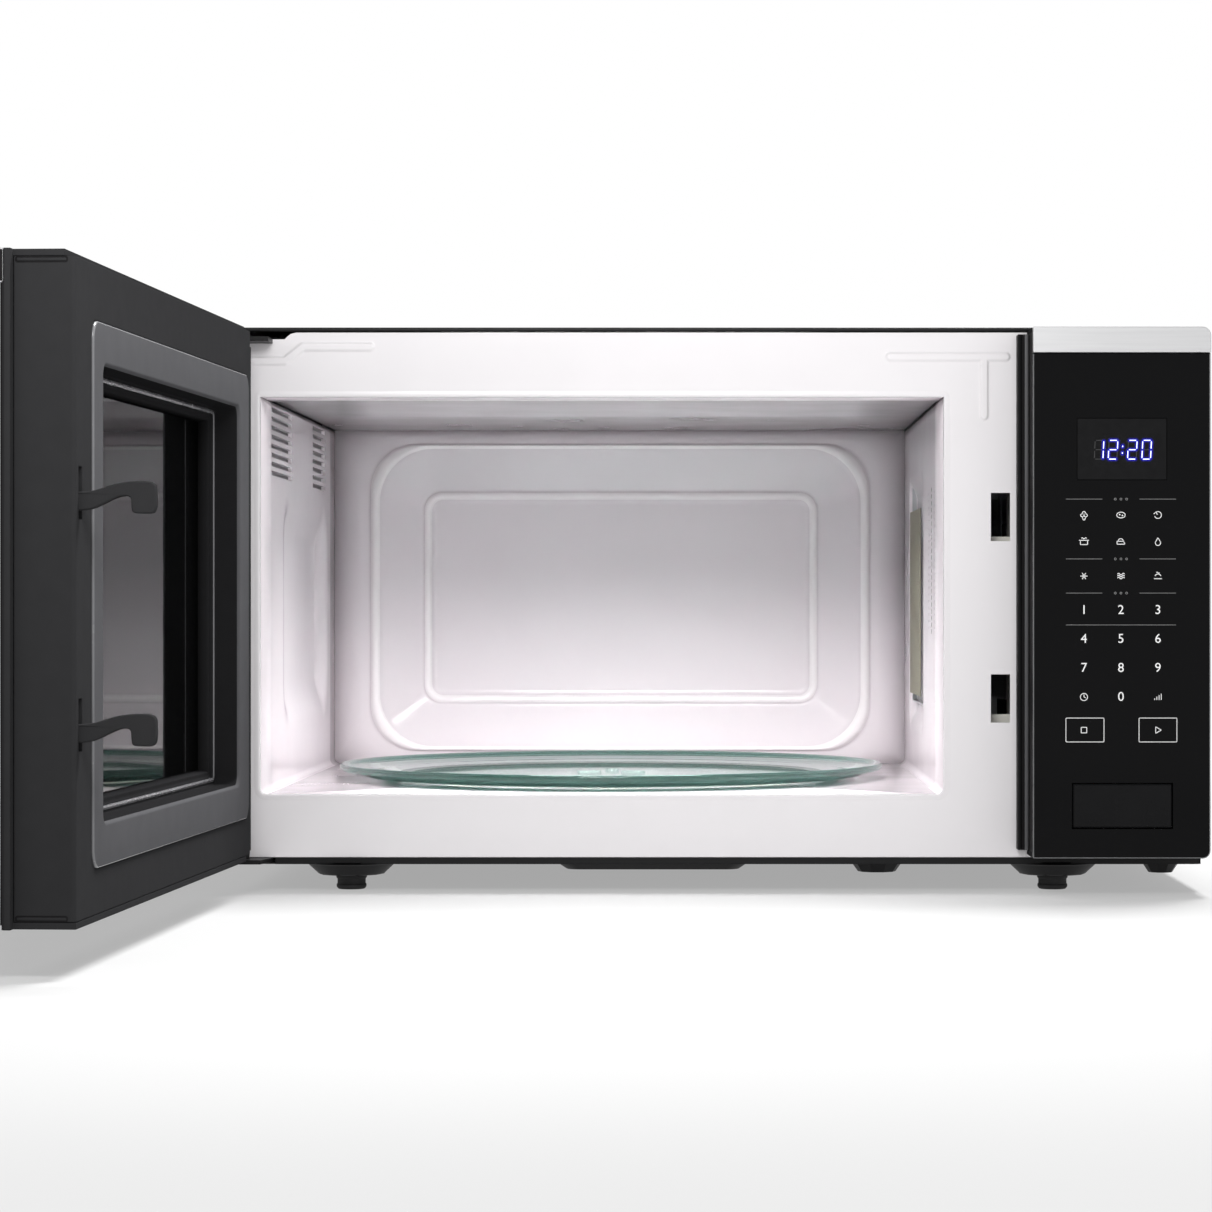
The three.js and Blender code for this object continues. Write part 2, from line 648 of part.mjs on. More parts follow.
// ---- Control panel ----
function panelOutline(bottom, top) {
  const { left, right, radius: r } = PANEL;
  const lower = bottom < FRONT_BOTTOM + 1 ? r : 0;
  const upper = top > FRONT_TOP - 1 ? r : 0;
  const shape = new THREE.Shape();
  shape.moveTo(left, bottom);
  shape.lineTo(right - lower, bottom);
  if (lower) shape.absarc(right - r, bottom + r, r, -Math.PI / 2, 0);
  shape.lineTo(right, top - upper);
  if (upper) shape.absarc(right - r, top - r, r, 0, Math.PI / 2);
  shape.lineTo(left, top);
  return shape;
}

function buttonHole(y0, y1, clearance) {
  const { left, right, bottom, top } = BUTTON;
  return block(left - clearance, right + clearance, y0, y1, bottom - clearance, top + clearance);
}

function controlPanelHousing() {
  const { left, right, depth } = PANEL;
  const wall = 2.5;
  const front = FACE_THICKNESS + GAP;
  const box = alongY(panelOutline(FRONT_BOTTOM, FRONT_TOP), front, depth);
  const pocket = block(
    left + wall,
    right - wall,
    front + wall,
    depth + PAST,
    FRONT_BOTTOM + wall,
    FRONT_TOP - wall,
  );
  const flange = block(left - 6.1, left + 1, 24, depth, 25, 320);
  const rest = 3; // ledge that the display window rests on
  const sightHole = block(
    DISPLAY.left + rest,
    DISPLAY.right - rest,
    0,
    10,
    DISPLAY.bottom + rest,
    DISPLAY.top - rest,
  );
  return cut(join(cut(box, pocket), flange), sightHole, buttonHole(0, 10, 0.5));
}

function controlPanelFace() {
  const sheet = alongY(panelOutline(FRONT_BOTTOM, BAND_BOTTOM - GAP), 0, FACE_THICKNESS);
  const displayHole = block(DISPLAY.left, DISPLAY.right, -PAST, PAST, DISPLAY.bottom, DISPLAY.top);
  return cut(sheet, displayHole, buttonHole(-PAST, PAST, 0.5));
}

function controlPanelBand() {
  return alongY(panelOutline(BAND_BOTTOM, FRONT_TOP), -BAND_PROUD, FACE_THICKNESS);
}

function displayWindow() {
  const { left, right, bottom, top } = DISPLAY;
  return block(left + GAP, right - GAP, 0, FACE_THICKNESS, bottom + GAP, top - GAP);
}

function displayModule() {
  const { left, right, bottom, top } = DISPLAY;
  const y = FACE_THICKNESS + GAP + 2.5 + GAP;
  return block(left + 1, right - 1, y, y + 7, bottom + 1, top - 1);
}

function controlBoard() {
  const board = block(184, 271, 16, 17.6, 92, 300);
  const parts = [
    block(190, 226, 17, 31, 268, 296),
    block(236, 262, 17, 34, 250, 290),
    block(195, 213, 17, 30, 180, 202),
    block(222, 240, 17, 30, 180, 202),
    rod("y", [255, 0, 225], 17, 33, 8, 14),
    block(200, 250, 17, 22, 120, 132),
  ];
  return join(board, ...parts);
}

// The release button's stem pushes the lower arm of the release lever.
function doorReleaseButton() {
  const { left, right, bottom, top, tip } = BUTTON;
  const height = (bottom + top) / 2;
  const key = block(left, right, 0, 9, bottom, top);
  const stem = block(LEVER_X - 8, LEVER_X + 8, 8, tip, height - 2, height + 2);
  return join(key, stem);
}

function releaseLever() {
  const { y, z } = LEVER_PIVOT;
  const low = (BUTTON.bottom + BUTTON.top) / 2;
  const arm = block(LEVER_X - 10, LEVER_X + 10, BUTTON.tip + 0.6, y + 2, low - 5, z);
  const boss = rod("x", [0, y, z], LEVER_X - 14, LEVER_X + 14, 5, 16);
  const reach = block(LEVER_X - 6, LEVER_X + 6, y, y + 30, z - 3, z + 3);
  return cut(join(arm, boss, reach), rod("x", [0, y, z], 150, 270, 2.3, 12));
}

function leverPin() {
  const { y, z } = LEVER_PIVOT;
  const pin = rod("x", [0, y, z], LEVER_X - 26, LEVER_X + 26, 2, 12);
  const posts = [LEVER_X - 24, LEVER_X + 24].map((x) =>
    block(x - 2, x + 2, y - 3, PANEL.depth, z - 4, z + 4),
  );
  return join(pin, ...posts);
}

// ---- Door interlock ----
const BRACKET_X = 170.6;

function interlockBracket() {
  const y = PLATE_Y + SHEET + GAP;
  const spine = block(BRACKET_X, BRACKET_X + 2.4, y, 88, 90, 244);
  const ledges = [0, HOOK_DROP].map((drop) =>
    block(155, BRACKET_X + 1, 50, 55, HOOK_Z - 14 - drop, HOOK_Z - 6.2 - drop),
  );
  return join(spine, ...ledges);
}

function interlockSwitch(z) {
  const x = BRACKET_X + 2.4 + GAP;
  const body = block(x, x + 10.3, 45, 73, z - 8, z + 8);
  const plunger = block(x + 4, x + 6.5, 42, 47, z + 2, z + 5);
  const tags = [-5, 0, 5].map((dz) => block(x + 4, x + 5, 72, 80, z + dz - 1.5, z + dz + 1.5));
  return join(body, plunger, ...tags);
}

// ---- Hinges ----
function upperHingePlate() {
  const arm = block(-277, -256.5, HINGE.y - 8, 62, 315.7, 318.2);
  const heel = block(-276.5, -246, PLATE_Y + SHEET + GAP, 62, 315.7, 318.2);
  const pin = rod("z", [HINGE.x, HINGE.y, 0], 298, 317, PIN_RADIUS, 16);
  return join(arm, heel, pin);
}

function lowerHingePlate() {
  const outline = polygon([
    [-277, HINGE.y - 8],
    [-261, HINGE.y - 8],
    [-256, PLATE_Y + 2],
    [-256, 70],
    [-276.5, 70],
  ]);
  const arm = alongZ(outline, BASE + SHEET + GAP, 19.7);
  const pin = rod("z", [HINGE.x, HINGE.y, 0], 18, 40, PIN_RADIUS, 16);
  return join(arm, pin);
}

// ---- Door, drawn closed ----
function doorOuterFrame() {
  const { left, strip, inner } = DOOR;
  const front = 0.8;
  const outline = new THREE.Shape();
  outline.moveTo(left + 2, front);
  outline.lineTo(strip - 1.5, front);
  outline.lineTo(strip, front + 1.5);
  outline.lineTo(strip, 5);
  outline.lineTo(DOOR.right, 5);
  outline.lineTo(DOOR.right, inner);
  const { radius, slopeStart, slopeEnd, fall } = HINGE_SIDE;
  outline.lineTo(slopeStart, inner);
  outline.lineTo(slopeEnd, inner - fall);
  outline.absarc(left + radius, inner - fall - radius, radius, Math.PI / 2, Math.PI);
  outline.lineTo(left, front + 2);
  const whole = alongZ(outline, FRONT_BOTTOM, FRONT_TOP);
  const pocket = block(-260, 180, 5, inner + PAST, FRONT_BOTTOM + 3, FRONT_TOP - 3);
  const glassSeat = block(-276, strip - 1.5, -PAST, 3 + GAP, FRONT_BOTTOM + 1.5, BAND_BOTTOM - GAP);
  const bandSeat = block(-279, 180, -PAST, 2, BAND_BOTTOM - GAP, FRONT_TOP + PAST);
  const window = block(-215, 135, -PAST, 10, 52, 288);
  const topStep = block(-260, 180, 28, inner + PAST, FRONT_TOP - 3.1, FRONT_TOP + PAST);
  const upperNotch = block(-290, HINGE_NOTCH.right, -PAST, 40, HINGE_NOTCH.bottom, FRONT_TOP + PAST);
  const lowerNotch = block(-290, -226, 8, 40, FRONT_BOTTOM - PAST, FRONT_BOTTOM + 3.1);
  const pinHoles = [
    rod("z", [HINGE.x, HINGE.y, 0], 295, 320, PIN_RADIUS + GAP, 16),
    rod("z", [HINGE.x, HINGE.y, 0], 15, 43, PIN_RADIUS + GAP, 16),
  ];
  return cut(whole, pocket, glassSeat, bandSeat, window, topStep, upperNotch, lowerNotch, ...pinHoles);
}

function doorFrontGlass() {
  return block(-275.6, DOOR.strip - 2, 0, 3, FRONT_BOTTOM + 2, BAND_BOTTOM - 2 * GAP);
}

function doorBand() {
  const right = DOOR.strip;
  return cut(
    block(DOOR.left, right, -BAND_PROUD, 1.7, BAND_BOTTOM, FRONT_TOP),
    block(-290, HINGE_NOTCH.right, 0, 10, HINGE_NOTCH.bottom, FRONT_TOP + PAST),
  );
}

function doorInnerPanel() {
  const { right, inner } = DOOR;
  const round = 2;
  const outline = new THREE.Shape();
  outline.moveTo(right - 2.2, 5.4);
  outline.lineTo(right, 5.4);
  outline.lineTo(right, inner - round);
  outline.absarc(right - round, inner - round, round, 0, Math.PI / 2);
  const { slopeStart, slopeEnd, fall } = HINGE_SIDE;
  const hingeEnd = -259.7;
  const low = inner - (fall * (slopeStart - hingeEnd)) / (slopeStart - slopeEnd);
  outline.lineTo(slopeStart, inner);
  outline.lineTo(hingeEnd, low);
  outline.lineTo(hingeEnd, low - 2.4);
  outline.lineTo(slopeStart, inner - 2.4);
  outline.lineTo(right - 2.2, inner - 2.4);
  const { left: a, right: b, bottom, top, radius } = COVER;
  const opening = alongY(roundedRectangle(a - GAP, b + GAP, bottom - GAP, top + GAP, radius), 20, 50);
  const hookSlots = [0, HOOK_DROP].map((drop) =>
    block(HOOK_X - 3.4, HOOK_X + 3.4, 20, 50, HOOK_Z - 8 - drop, HOOK_Z + 15.5 - drop),
  );
  const panel = alongZ(outline, FRONT_BOTTOM + 3 + GAP, FRONT_TOP - 3 - GAP);
  const notch = block(-290, HINGE_NOTCH.right + 8, 20, 50, HINGE_NOTCH.bottom, FRONT_TOP + PAST);
  return cut(panel, opening, notch, ...hookSlots);
}

function doorChokeCover() {
  const { left, right, bottom, top, radius } = COVER;
  const face = DOOR.inner + 1.2;
  const ring = alongY(roundedRectangle(left, right, bottom, top, radius), 29, face);
  const hole = roundedRectangle(WINDOW.left, WINDOW.right, WINDOW.bottom, WINDOW.top, WINDOW.radius);
  return cut(ring, alongY(hole, 20, 50));
}

function doorSteelFrame() {
  const { left, right, bottom, top, radius } = WINDOW;
  const grow = (by, r) => roundedRectangle(left - by, right + by, bottom - by, top + by, r);
  const flange = alongY(roundedRectangle(-238.5, 152, 34, 306, 6), 27.4, 28.6);
  const tube = alongY(grow(2.2, radius + 2), 12.9, 28.6);
  const recess = alongY(grow(0.8, radius), 18.7, 40);
  const inner = alongY(grow(-8, 8), 0, 30);
  return cut(join(flange, tube), recess, inner);
}

function doorInnerWindow() {
  const { left, right, bottom, top } = WINDOW;
  return block(left, right, 11.2, 12.6, bottom, top);
}

function doorScreen() {
  const { left, right, bottom, top } = WINDOW;
  return block(left - 10, right + 10, 10, 10.9, bottom - 10, top + 10);
}

const SPRING = { y: 20, bottom: 50, top: 84, radius: 3.2, wire: 0.8, turns: 6 };

// The hook bar slides up and down behind the inner panel and carries both hooks.
function hookOutline(drop) {
  const z = HOOK_Z - drop;
  const tip = DOOR.inner + HOOK_REACH;
  const arm = 8.4;
  const shape = new THREE.Shape();
  shape.moveTo(22, z - 4);
  shape.lineTo(38, z - 4);
  shape.bezierCurveTo(46, z - 4, 47, z, 54, z);
  shape.bezierCurveTo(56.5, z, 56.5, z - 1, 56.5, z - 3);
  shape.bezierCurveTo(57, z - 6.5, 66.5, z - 6.5, tip, z - 1);
  shape.bezierCurveTo(tip + 0.4, z + 5, tip - 3, z + arm, tip - 9, z + arm);
  shape.lineTo(53, z + arm);
  shape.bezierCurveTo(46, z + arm, 44, z + 4, 38, z + 4);
  shape.lineTo(22, z + 4);
  return shape;
}

function doorHookBar() {
  const thick = 4.6;
  const x0 = HOOK_X - thick / 2;
  const bar = block(x0, x0 + thick, 14, 26, HOOK_Z - HOOK_DROP - 22, HOOK_Z + 22);
  const hooks = [0, HOOK_DROP].map((drop) => alongX(hookOutline(drop), x0, x0 + thick));
  const lug = block(x0, x0 + thick, 17, 23, SPRING.top, HOOK_Z - HOOK_DROP - 20);
  return join(bar, ...hooks, lug);
}

// A pull spring under the hook bar: its helix runs along Z.
function doorHookSpring() {
  const { y, bottom, top, radius, turns, wire } = SPRING;
  const steps = turns * 8;
  const height = top - bottom - 2 * wire - GAP;
  const path = Array.from({ length: steps + 1 }, (_, i) => {
    const angle = (2 * Math.PI * turns * i) / steps;
    const z = bottom + wire + (height * i) / steps;
    return new THREE.Vector3(HOOK_X + radius * Math.cos(angle), y + radius * Math.sin(angle), z);
  });
  const section = new THREE.Shape(
    Array.from({ length: 6 }, (_, i) => {
      const angle = (Math.PI * i) / 3;
      return new THREE.Vector2(wire * Math.cos(angle), wire * Math.sin(angle));
    }),
  );
  const curve = new THREE.CatmullRomCurve3(path);
  return solid(new THREE.ExtrudeGeometry(section, { extrudePath: curve, steps, bevelEnabled: false }));
}

// ---- Fasteners ----
function caseScrew([x, z]) {
  const head = BACK_Y + GAP;
  return join(rod("y", [x, 0, z], head - 8, head + 1, 2, 12), rod("y", [x, 0, z], head, head + 2.2, 4, 16));
}

// ---- Assembly ----
function mesh(name, shape, { color, roughness, metalness }) {
  const { vertProperties, triVerts } = shape.getMesh();
  const geometry = new THREE.BufferGeometry();
  geometry.setAttribute("position", new THREE.BufferAttribute(new Float32Array(vertProperties), 3));
  geometry.setIndex(new THREE.BufferAttribute(new Uint32Array(triVerts), 1));
  geometry.computeVertexNormals();
  const piece = new THREE.Mesh(geometry, new THREE.MeshStandardMaterial({ color, roughness, metalness }));
  piece.name = name;
  return piece;
}

function group(...children) {
  return new THREE.Group().add(...children);
}

const cabinet = group(
  mesh("outer_case", outerCase(), BLACK_PAINT),
  mesh("rear_panel", rearPanel(), ZINC_STEEL),
  mesh("base_plate", basePlate(), BLACK_PAINT),
  mesh("front_plate", frontPlate(), WHITE_ENAMEL),
  mesh("cord_gland", cordGland(), BLACK_PLASTIC),
  mesh("upper_hinge_plate", upperHingePlate(), BLACK_PAINT),
  mesh("lower_hinge_plate", lowerHingePlate(), BLACK_PAINT),
  ...FEET.map((place) => mesh(`foot_${place.name}`, foot(place), RUBBER)),
  ...CASE_SCREWS.map((place, i) => mesh(`case_screw_${i + 1}`, caseScrew(place), ZINC_STEEL)),
);

const cavity = group(
  mesh("cavity_shell", cavityShell(), WHITE_ENAMEL),
  mesh("cavity_ceiling", cavityCeiling(), WHITE_ENAMEL),
  mesh("cavity_back_wall", cavityBackWall(), WHITE_ENAMEL),
  mesh("waveguide_cover", waveguideCover(), MICA),
  mesh("cavity_lamp", cavityLamp(), CLEAR_GLASS),
  mesh("thermal_cutout", thermalCutout(), ZINC_STEEL),
);

const turntable = group(
  mesh("turntable_motor", turntableMotor(), ZINC_STEEL),
  mesh("turntable_coupler", turntableCoupler(), WHITE_PLASTIC),
  mesh("roller_ring", rollerRing(), WHITE_PLASTIC),
  ...rollerTurns().map((turn, i) => mesh(`roller_${i + 1}`, roller(turn), WHITE_PLASTIC)),
  mesh("glass_tray", glassTray(), TRAY_GLASS),
);

const generator = group(
  mesh("waveguide", waveguide(), ZINC_STEEL),
  mesh("magnetron_yoke", magnetronYoke(), ZINC_STEEL),
  mesh("magnetron_tube", magnetronTube(), ALUMINIUM),
  mesh("magnetron_filter_box", magnetronFilterBox(), ZINC_STEEL),
  mesh("transformer_core", transformerCore(), BLACK_PAINT),
  mesh("transformer_windings", transformerWindings(), COPPER),
  mesh("high_voltage_capacitor", highVoltageCapacitor(), ALUMINIUM),
  mesh("line_filter_board", lineFilterBoard(), BOARD_GREEN),
  mesh("fan_shroud", fanShroud(), BLACK_PLASTIC),
  mesh("fan_motor", fanMotor(), ZINC_STEEL),
  mesh("fan_blade", fanBlade(), WHITE_PLASTIC),
);

const panel = group(
  mesh("control_panel_housing", controlPanelHousing(), BLACK_PLASTIC),
  mesh("control_panel_face", controlPanelFace(), GLOSS_BLACK),
  mesh("control_panel_band", controlPanelBand(), STEEL_BAND),
  mesh("display_window", displayWindow(), CLEAR_GLASS),
  mesh("display_module", displayModule(), BLACK_PLASTIC),
  mesh("control_board", controlBoard(), BOARD_GREEN),
  mesh("door_release_button", doorReleaseButton(), GLOSS_BLACK),
  mesh("release_lever", releaseLever(), WHITE_PLASTIC),
  mesh("release_lever_pin", leverPin(), BLACK_PLASTIC),
  mesh("interlock_bracket", interlockBracket(), WHITE_PLASTIC),
  mesh("interlock_switch_upper", interlockSwitch(220), WHITE_PLASTIC),
  mesh("interlock_switch_middle", interlockSwitch(165), WHITE_PLASTIC),
  mesh("interlock_switch_lower", interlockSwitch(117), WHITE_PLASTIC),
);

// The door's pieces are drawn closed. The inner group brings the hinge axis to the origin, and the
// outer one puts it back on the hinge pins with the door turned open.
const closedDoor = group(
  mesh("door_outer_frame", doorOuterFrame(), BLACK_PLASTIC),
  mesh("door_front_glass", doorFrontGlass(), GLOSS_BLACK),
  mesh("door_band", doorBand(), STEEL_BAND),
  mesh("door_inner_panel", doorInnerPanel(), BLACK_PLASTIC),
  mesh("door_choke_cover", doorChokeCover(), GREY_PLASTIC),
  mesh("door_steel_frame", doorSteelFrame(), BLACK_PAINT),
  mesh("door_screen", doorScreen(), BLACK_PAINT),
  mesh("door_inner_window", doorInnerWindow(), CLEAR_GLASS),
  mesh("door_hook_bar", doorHookBar(), BLACK_PLASTIC),
  mesh("door_hook_spring", doorHookSpring(), ZINC_STEEL),
);
closedDoor.position.set(-HINGE.x, -HINGE.y, 0);
const door = group(closedDoor);
door.position.set(HINGE.x, HINGE.y, 0);
door.rotation.z = THREE.MathUtils.degToRad(-OPEN_DEGREES);

const oven = group(cabinet, cavity, turntable, generator, panel, door);
oven.updateMatrixWorld(true);
const outerBox = new THREE.Box3().setFromObject(oven, true);
const middle = outerBox.getCenter(new THREE.Vector3());
oven.position.set(-middle.x, -middle.y, -outerBox.min.z);

export default group(oven);
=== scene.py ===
# %% [markdown]
# # A countertop microwave oven with its door standing open
# The oven is a folded steel case round a white enamelled cavity, with a glossy control panel on
# the right and a deep black door hinged on the left. The engineering model gives every part's
# place and motion. Here each surface that shows is worked out again as a fine shape with numpy,
# or kept and given a finish with real detail.
#
# All lengths below are millimetres in the oven's own layout: x = 0 in the middle of the case,
# y = 0 on the front of the control panel, z = 0 under the feet. One function brings them to the
# frame's metres, so no piece is ever fitted by eye.

# %% Load the fixed frame
import json
import math
import bmesh
import bpy
import numpy as np
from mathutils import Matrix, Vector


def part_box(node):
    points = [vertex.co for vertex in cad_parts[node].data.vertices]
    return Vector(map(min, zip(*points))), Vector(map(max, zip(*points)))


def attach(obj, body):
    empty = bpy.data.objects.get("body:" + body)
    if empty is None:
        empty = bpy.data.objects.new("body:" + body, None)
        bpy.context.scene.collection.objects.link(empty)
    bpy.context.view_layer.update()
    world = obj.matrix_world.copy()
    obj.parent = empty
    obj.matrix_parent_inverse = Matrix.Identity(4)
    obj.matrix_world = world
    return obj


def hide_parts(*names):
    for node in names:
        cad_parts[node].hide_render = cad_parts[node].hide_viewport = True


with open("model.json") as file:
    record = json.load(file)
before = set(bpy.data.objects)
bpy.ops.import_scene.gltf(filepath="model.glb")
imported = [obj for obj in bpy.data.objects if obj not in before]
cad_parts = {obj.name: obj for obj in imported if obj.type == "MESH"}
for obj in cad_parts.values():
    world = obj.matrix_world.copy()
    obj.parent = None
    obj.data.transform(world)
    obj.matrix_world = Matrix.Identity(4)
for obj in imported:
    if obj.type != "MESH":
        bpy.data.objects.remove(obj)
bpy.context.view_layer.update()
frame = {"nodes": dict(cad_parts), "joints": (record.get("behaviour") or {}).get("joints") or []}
MM = 0.001
case_low, case_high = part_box("outer_case")
face_low, face_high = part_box("control_panel_face")
layout_origin = np.array([(case_low.x + case_high.x) / 2, face_low.y, 0.0])
hinge_joint = next(j for j in frame["joints"] if j["name"] == "door_hinge")
HINGE = (np.array(hinge_joint["pos_m"]) - layout_origin) / MM
OPEN_ANGLE = -math.radians(hinge_joint["range_deg"][1])
print("layout origin in metres:", layout_origin.round(5), "door opened by", hinge_joint["range_deg"][1])

# %% [markdown]
# ## Camera
# A long lens from almost two metres away, level with the middle of the cavity, sees the front
# square on, so vertical edges stay vertical. The lens is shifted sideways instead of turned,
# which keeps the front plate free of perspective while the open door fits in the picture.

# %% Camera
CAMERA_PLACE = layout_origin + np.array([-6.5, -1896.0, 164.6]) * MM
LENS = 99.68
SENSOR = 36.0
SIDE_SHIFT = -0.0833
camera_data = bpy.data.cameras.new("camera")
camera_data.lens = LENS
camera_data.sensor_width = SENSOR
camera_data.shift_x = SIDE_SHIFT
camera = bpy.data.objects.new("camera", camera_data)
camera.location = CAMERA_PLACE
camera.rotation_euler = (math.radians(90), 0, 0)
bpy.context.scene.collection.objects.link(camera)
bpy.context.scene.camera = camera
bpy.context.scene.view_settings.view_transform = "Standard"
print("camera at", CAMERA_PLACE.round(4), "lens", LENS)

# %% [markdown]
# ## Studio
# White appliances are shot in a white sweep: the surround is bright at the horizon and softer
# overhead, one large light hangs above and to the right, and a small key light in front reaches
# into the cavity. The oven's own lamp glows under the cavity ceiling, as it does whenever the
# door is open. The floor gives off painted light of its own: faintly near the oven, so the shadow
# under it stays a pale grey, and more strongly further out, so the far floor stays white.

# %% Studio
def soft_light(name, place, size, power, turn):
    """A rectangular area light at place, in metres, turned by three angles in degrees."""
    data = bpy.data.lights.new(name, "AREA")
    data.shape = "RECTANGLE"
    data.size, data.size_y = size
    data.energy = power
    light = bpy.data.objects.new(name, data)
    light.location = place
    light.rotation_euler = [math.radians(angle) for angle in turn]
    bpy.context.scene.collection.objects.link(light)
    return light


HORIZON, ZENITH = 1.0, 0.45
BRIGHT_BELOW, SOFT_ABOVE = math.radians(13), math.radians(28)
world = bpy.data.worlds.new("studio")
world.use_nodes = True
nodes, links = world.node_tree.nodes, world.node_tree.links
height = nodes.new("ShaderNodeSeparateXYZ")
links.new(nodes.new("ShaderNodeTexCoord").outputs["Generated"], height.inputs["Vector"])
fall = nodes.new("ShaderNodeMapRange")
fall.interpolation_type = "SMOOTHSTEP"
fall.inputs["From Min"].default_value = math.sin(BRIGHT_BELOW)
fall.inputs["From Max"].default_value = math.sin(SOFT_ABOVE)
fall.inputs["To Min"].default_value = HORIZON
fall.inputs["To Max"].default_value = ZENITH
links.new(height.outputs["Z"], fall.inputs["Value"])
links.new(fall.outputs["Result"], nodes["Background"].inputs["Strength"])
nodes["Background"].inputs["Color"].default_value = (1, 1, 1, 1)
bpy.context.scene.world = world
soft_light("overhead", (0.45, 0.5, 2.05), (0.7, 0.6), 92, (-13, 12, 0))
soft_light("front_key", (-0.08, -0.75, 0.56), (0.34, 0.2), 3.1, (62, 0, 0))
oven_lamp = soft_light("oven_lamp", (-0.035, 0.12, 0.279), (0.22, 0.14), 1.5, (14, 0, 0))
oven_lamp.data.spread = math.radians(120)
oven_lamp.visible_camera = False
print("surround from", HORIZON, "at the horizon to", ZENITH, "overhead, and 3 soft lights")

# %% [markdown]
# ## Floor
# The sweep paper is one large sheet, matt and grey, made pale by its own light. Its glow follows
# the distance from the oven: low where the shadow lies, high further out. A plain bright sheet
# would wash the shadow away.

# %% Floor
PAPER_REACH = 40
PAPER_GREY = 0.28
NEAR_GLOW, FAR_GLOW = 0.38, 0.85
NEAR_END, FAR_START = 0.85, 1.8
floor_mesh = bpy.data.meshes.new("floor")
paper_corners = [(-PAPER_REACH, -PAPER_REACH, 0), (PAPER_REACH, -PAPER_REACH, 0),
                 (PAPER_REACH, PAPER_REACH, 0), (-PAPER_REACH, PAPER_REACH, 0)]
floor_mesh.from_pydata(paper_corners, [], [(0, 1, 2, 3)])
floor = bpy.data.objects.new("floor", floor_mesh)
bpy.context.scene.collection.objects.link(floor)
paper = bpy.data.materials.new("sweep_paper")
paper.use_nodes = True
paper_shader = paper.node_tree.nodes["Principled BSDF"]
paper_shader.inputs["Base Color"].default_value = (PAPER_GREY, PAPER_GREY, PAPER_GREY, 1)
paper_shader.inputs["Roughness"].default_value = 0.9
paper_shader.inputs["Specular IOR Level"].default_value = 0.0
paper_shader.inputs["Emission Color"].default_value = (1, 1, 1, 1)
paper_nodes, paper_links = paper.node_tree.nodes, paper.node_tree.links
reach = paper_nodes.new("ShaderNodeVectorMath")
reach.operation = "LENGTH"
paper_links.new(paper_nodes.new("ShaderNodeTexCoord").outputs["Object"], reach.inputs[0])
glow = paper_nodes.new("ShaderNodeMapRange")
glow.interpolation_type = "SMOOTHSTEP"
glow.inputs["From Min"].default_value = NEAR_END
glow.inputs["From Max"].default_value = FAR_START
glow.inputs["To Min"].default_value = NEAR_GLOW
glow.inputs["To Max"].default_value = FAR_GLOW
paper_links.new(reach.outputs["Value"], glow.inputs["Value"])
paper_links.new(glow.outputs["Result"], paper_shader.inputs["Emission Strength"])
floor_mesh.materials.append(paper)
print("floor glows from", NEAR_GLOW, "near the oven to", FAR_GLOW, "beyond", FAR_START, "metres")

# %% [markdown]
# ## Finishes
# No surface on a real appliance is one flat colour. Enamel has a faint orange-peel ripple,
# powder coat is pebbled, rolled steel has lines along its rolling direction and moulded plastic
# a fine spark-eroded grain. So one maker builds them all: a soft noise moves the colour and the
# roughness a little, and a fine noise lifts the surface. On the folded sheet parts a rounded
# edge normal catches the light as a real bend does.

# %% The finish maker
NOISE_LOW, NOISE_HIGH = 0.3, 0.7


def linear(srgb):
    """Turns 0-255 screen values into the linear values that shaders use."""
    c = np.asarray(srgb, float) / 255
    return np.where(c <= 0.04045, c / 12.92, ((c + 0.055) / 1.055) ** 2.4)


def noise(nodes, links, vector, scale, detail=3.0):
    """A soft noise of so many blotches per metre. Nearly all of it lies between NOISE_LOW and
    NOISE_HIGH, so those two are what it is stretched from."""
    texture = nodes.new("ShaderNodeTexNoise")
    texture.inputs["Scale"].default_value = scale
    texture.inputs["Detail"].default_value = detail
    links.new(vector, texture.inputs["Vector"])
    return texture.outputs["Fac"]


def mapped(nodes, links, value, low, high):
    """A noise stretched to run from low to high."""
    ranged = nodes.new("ShaderNodeMapRange")
    ranged.inputs["From Min"].default_value = NOISE_LOW
    ranged.inputs["From Max"].default_value = NOISE_HIGH
    ranged.inputs["To Min"].default_value = low
    ranged.inputs["To Max"].default_value = high
    links.new(value, ranged.inputs["Value"])
    return ranged.outputs["Result"]


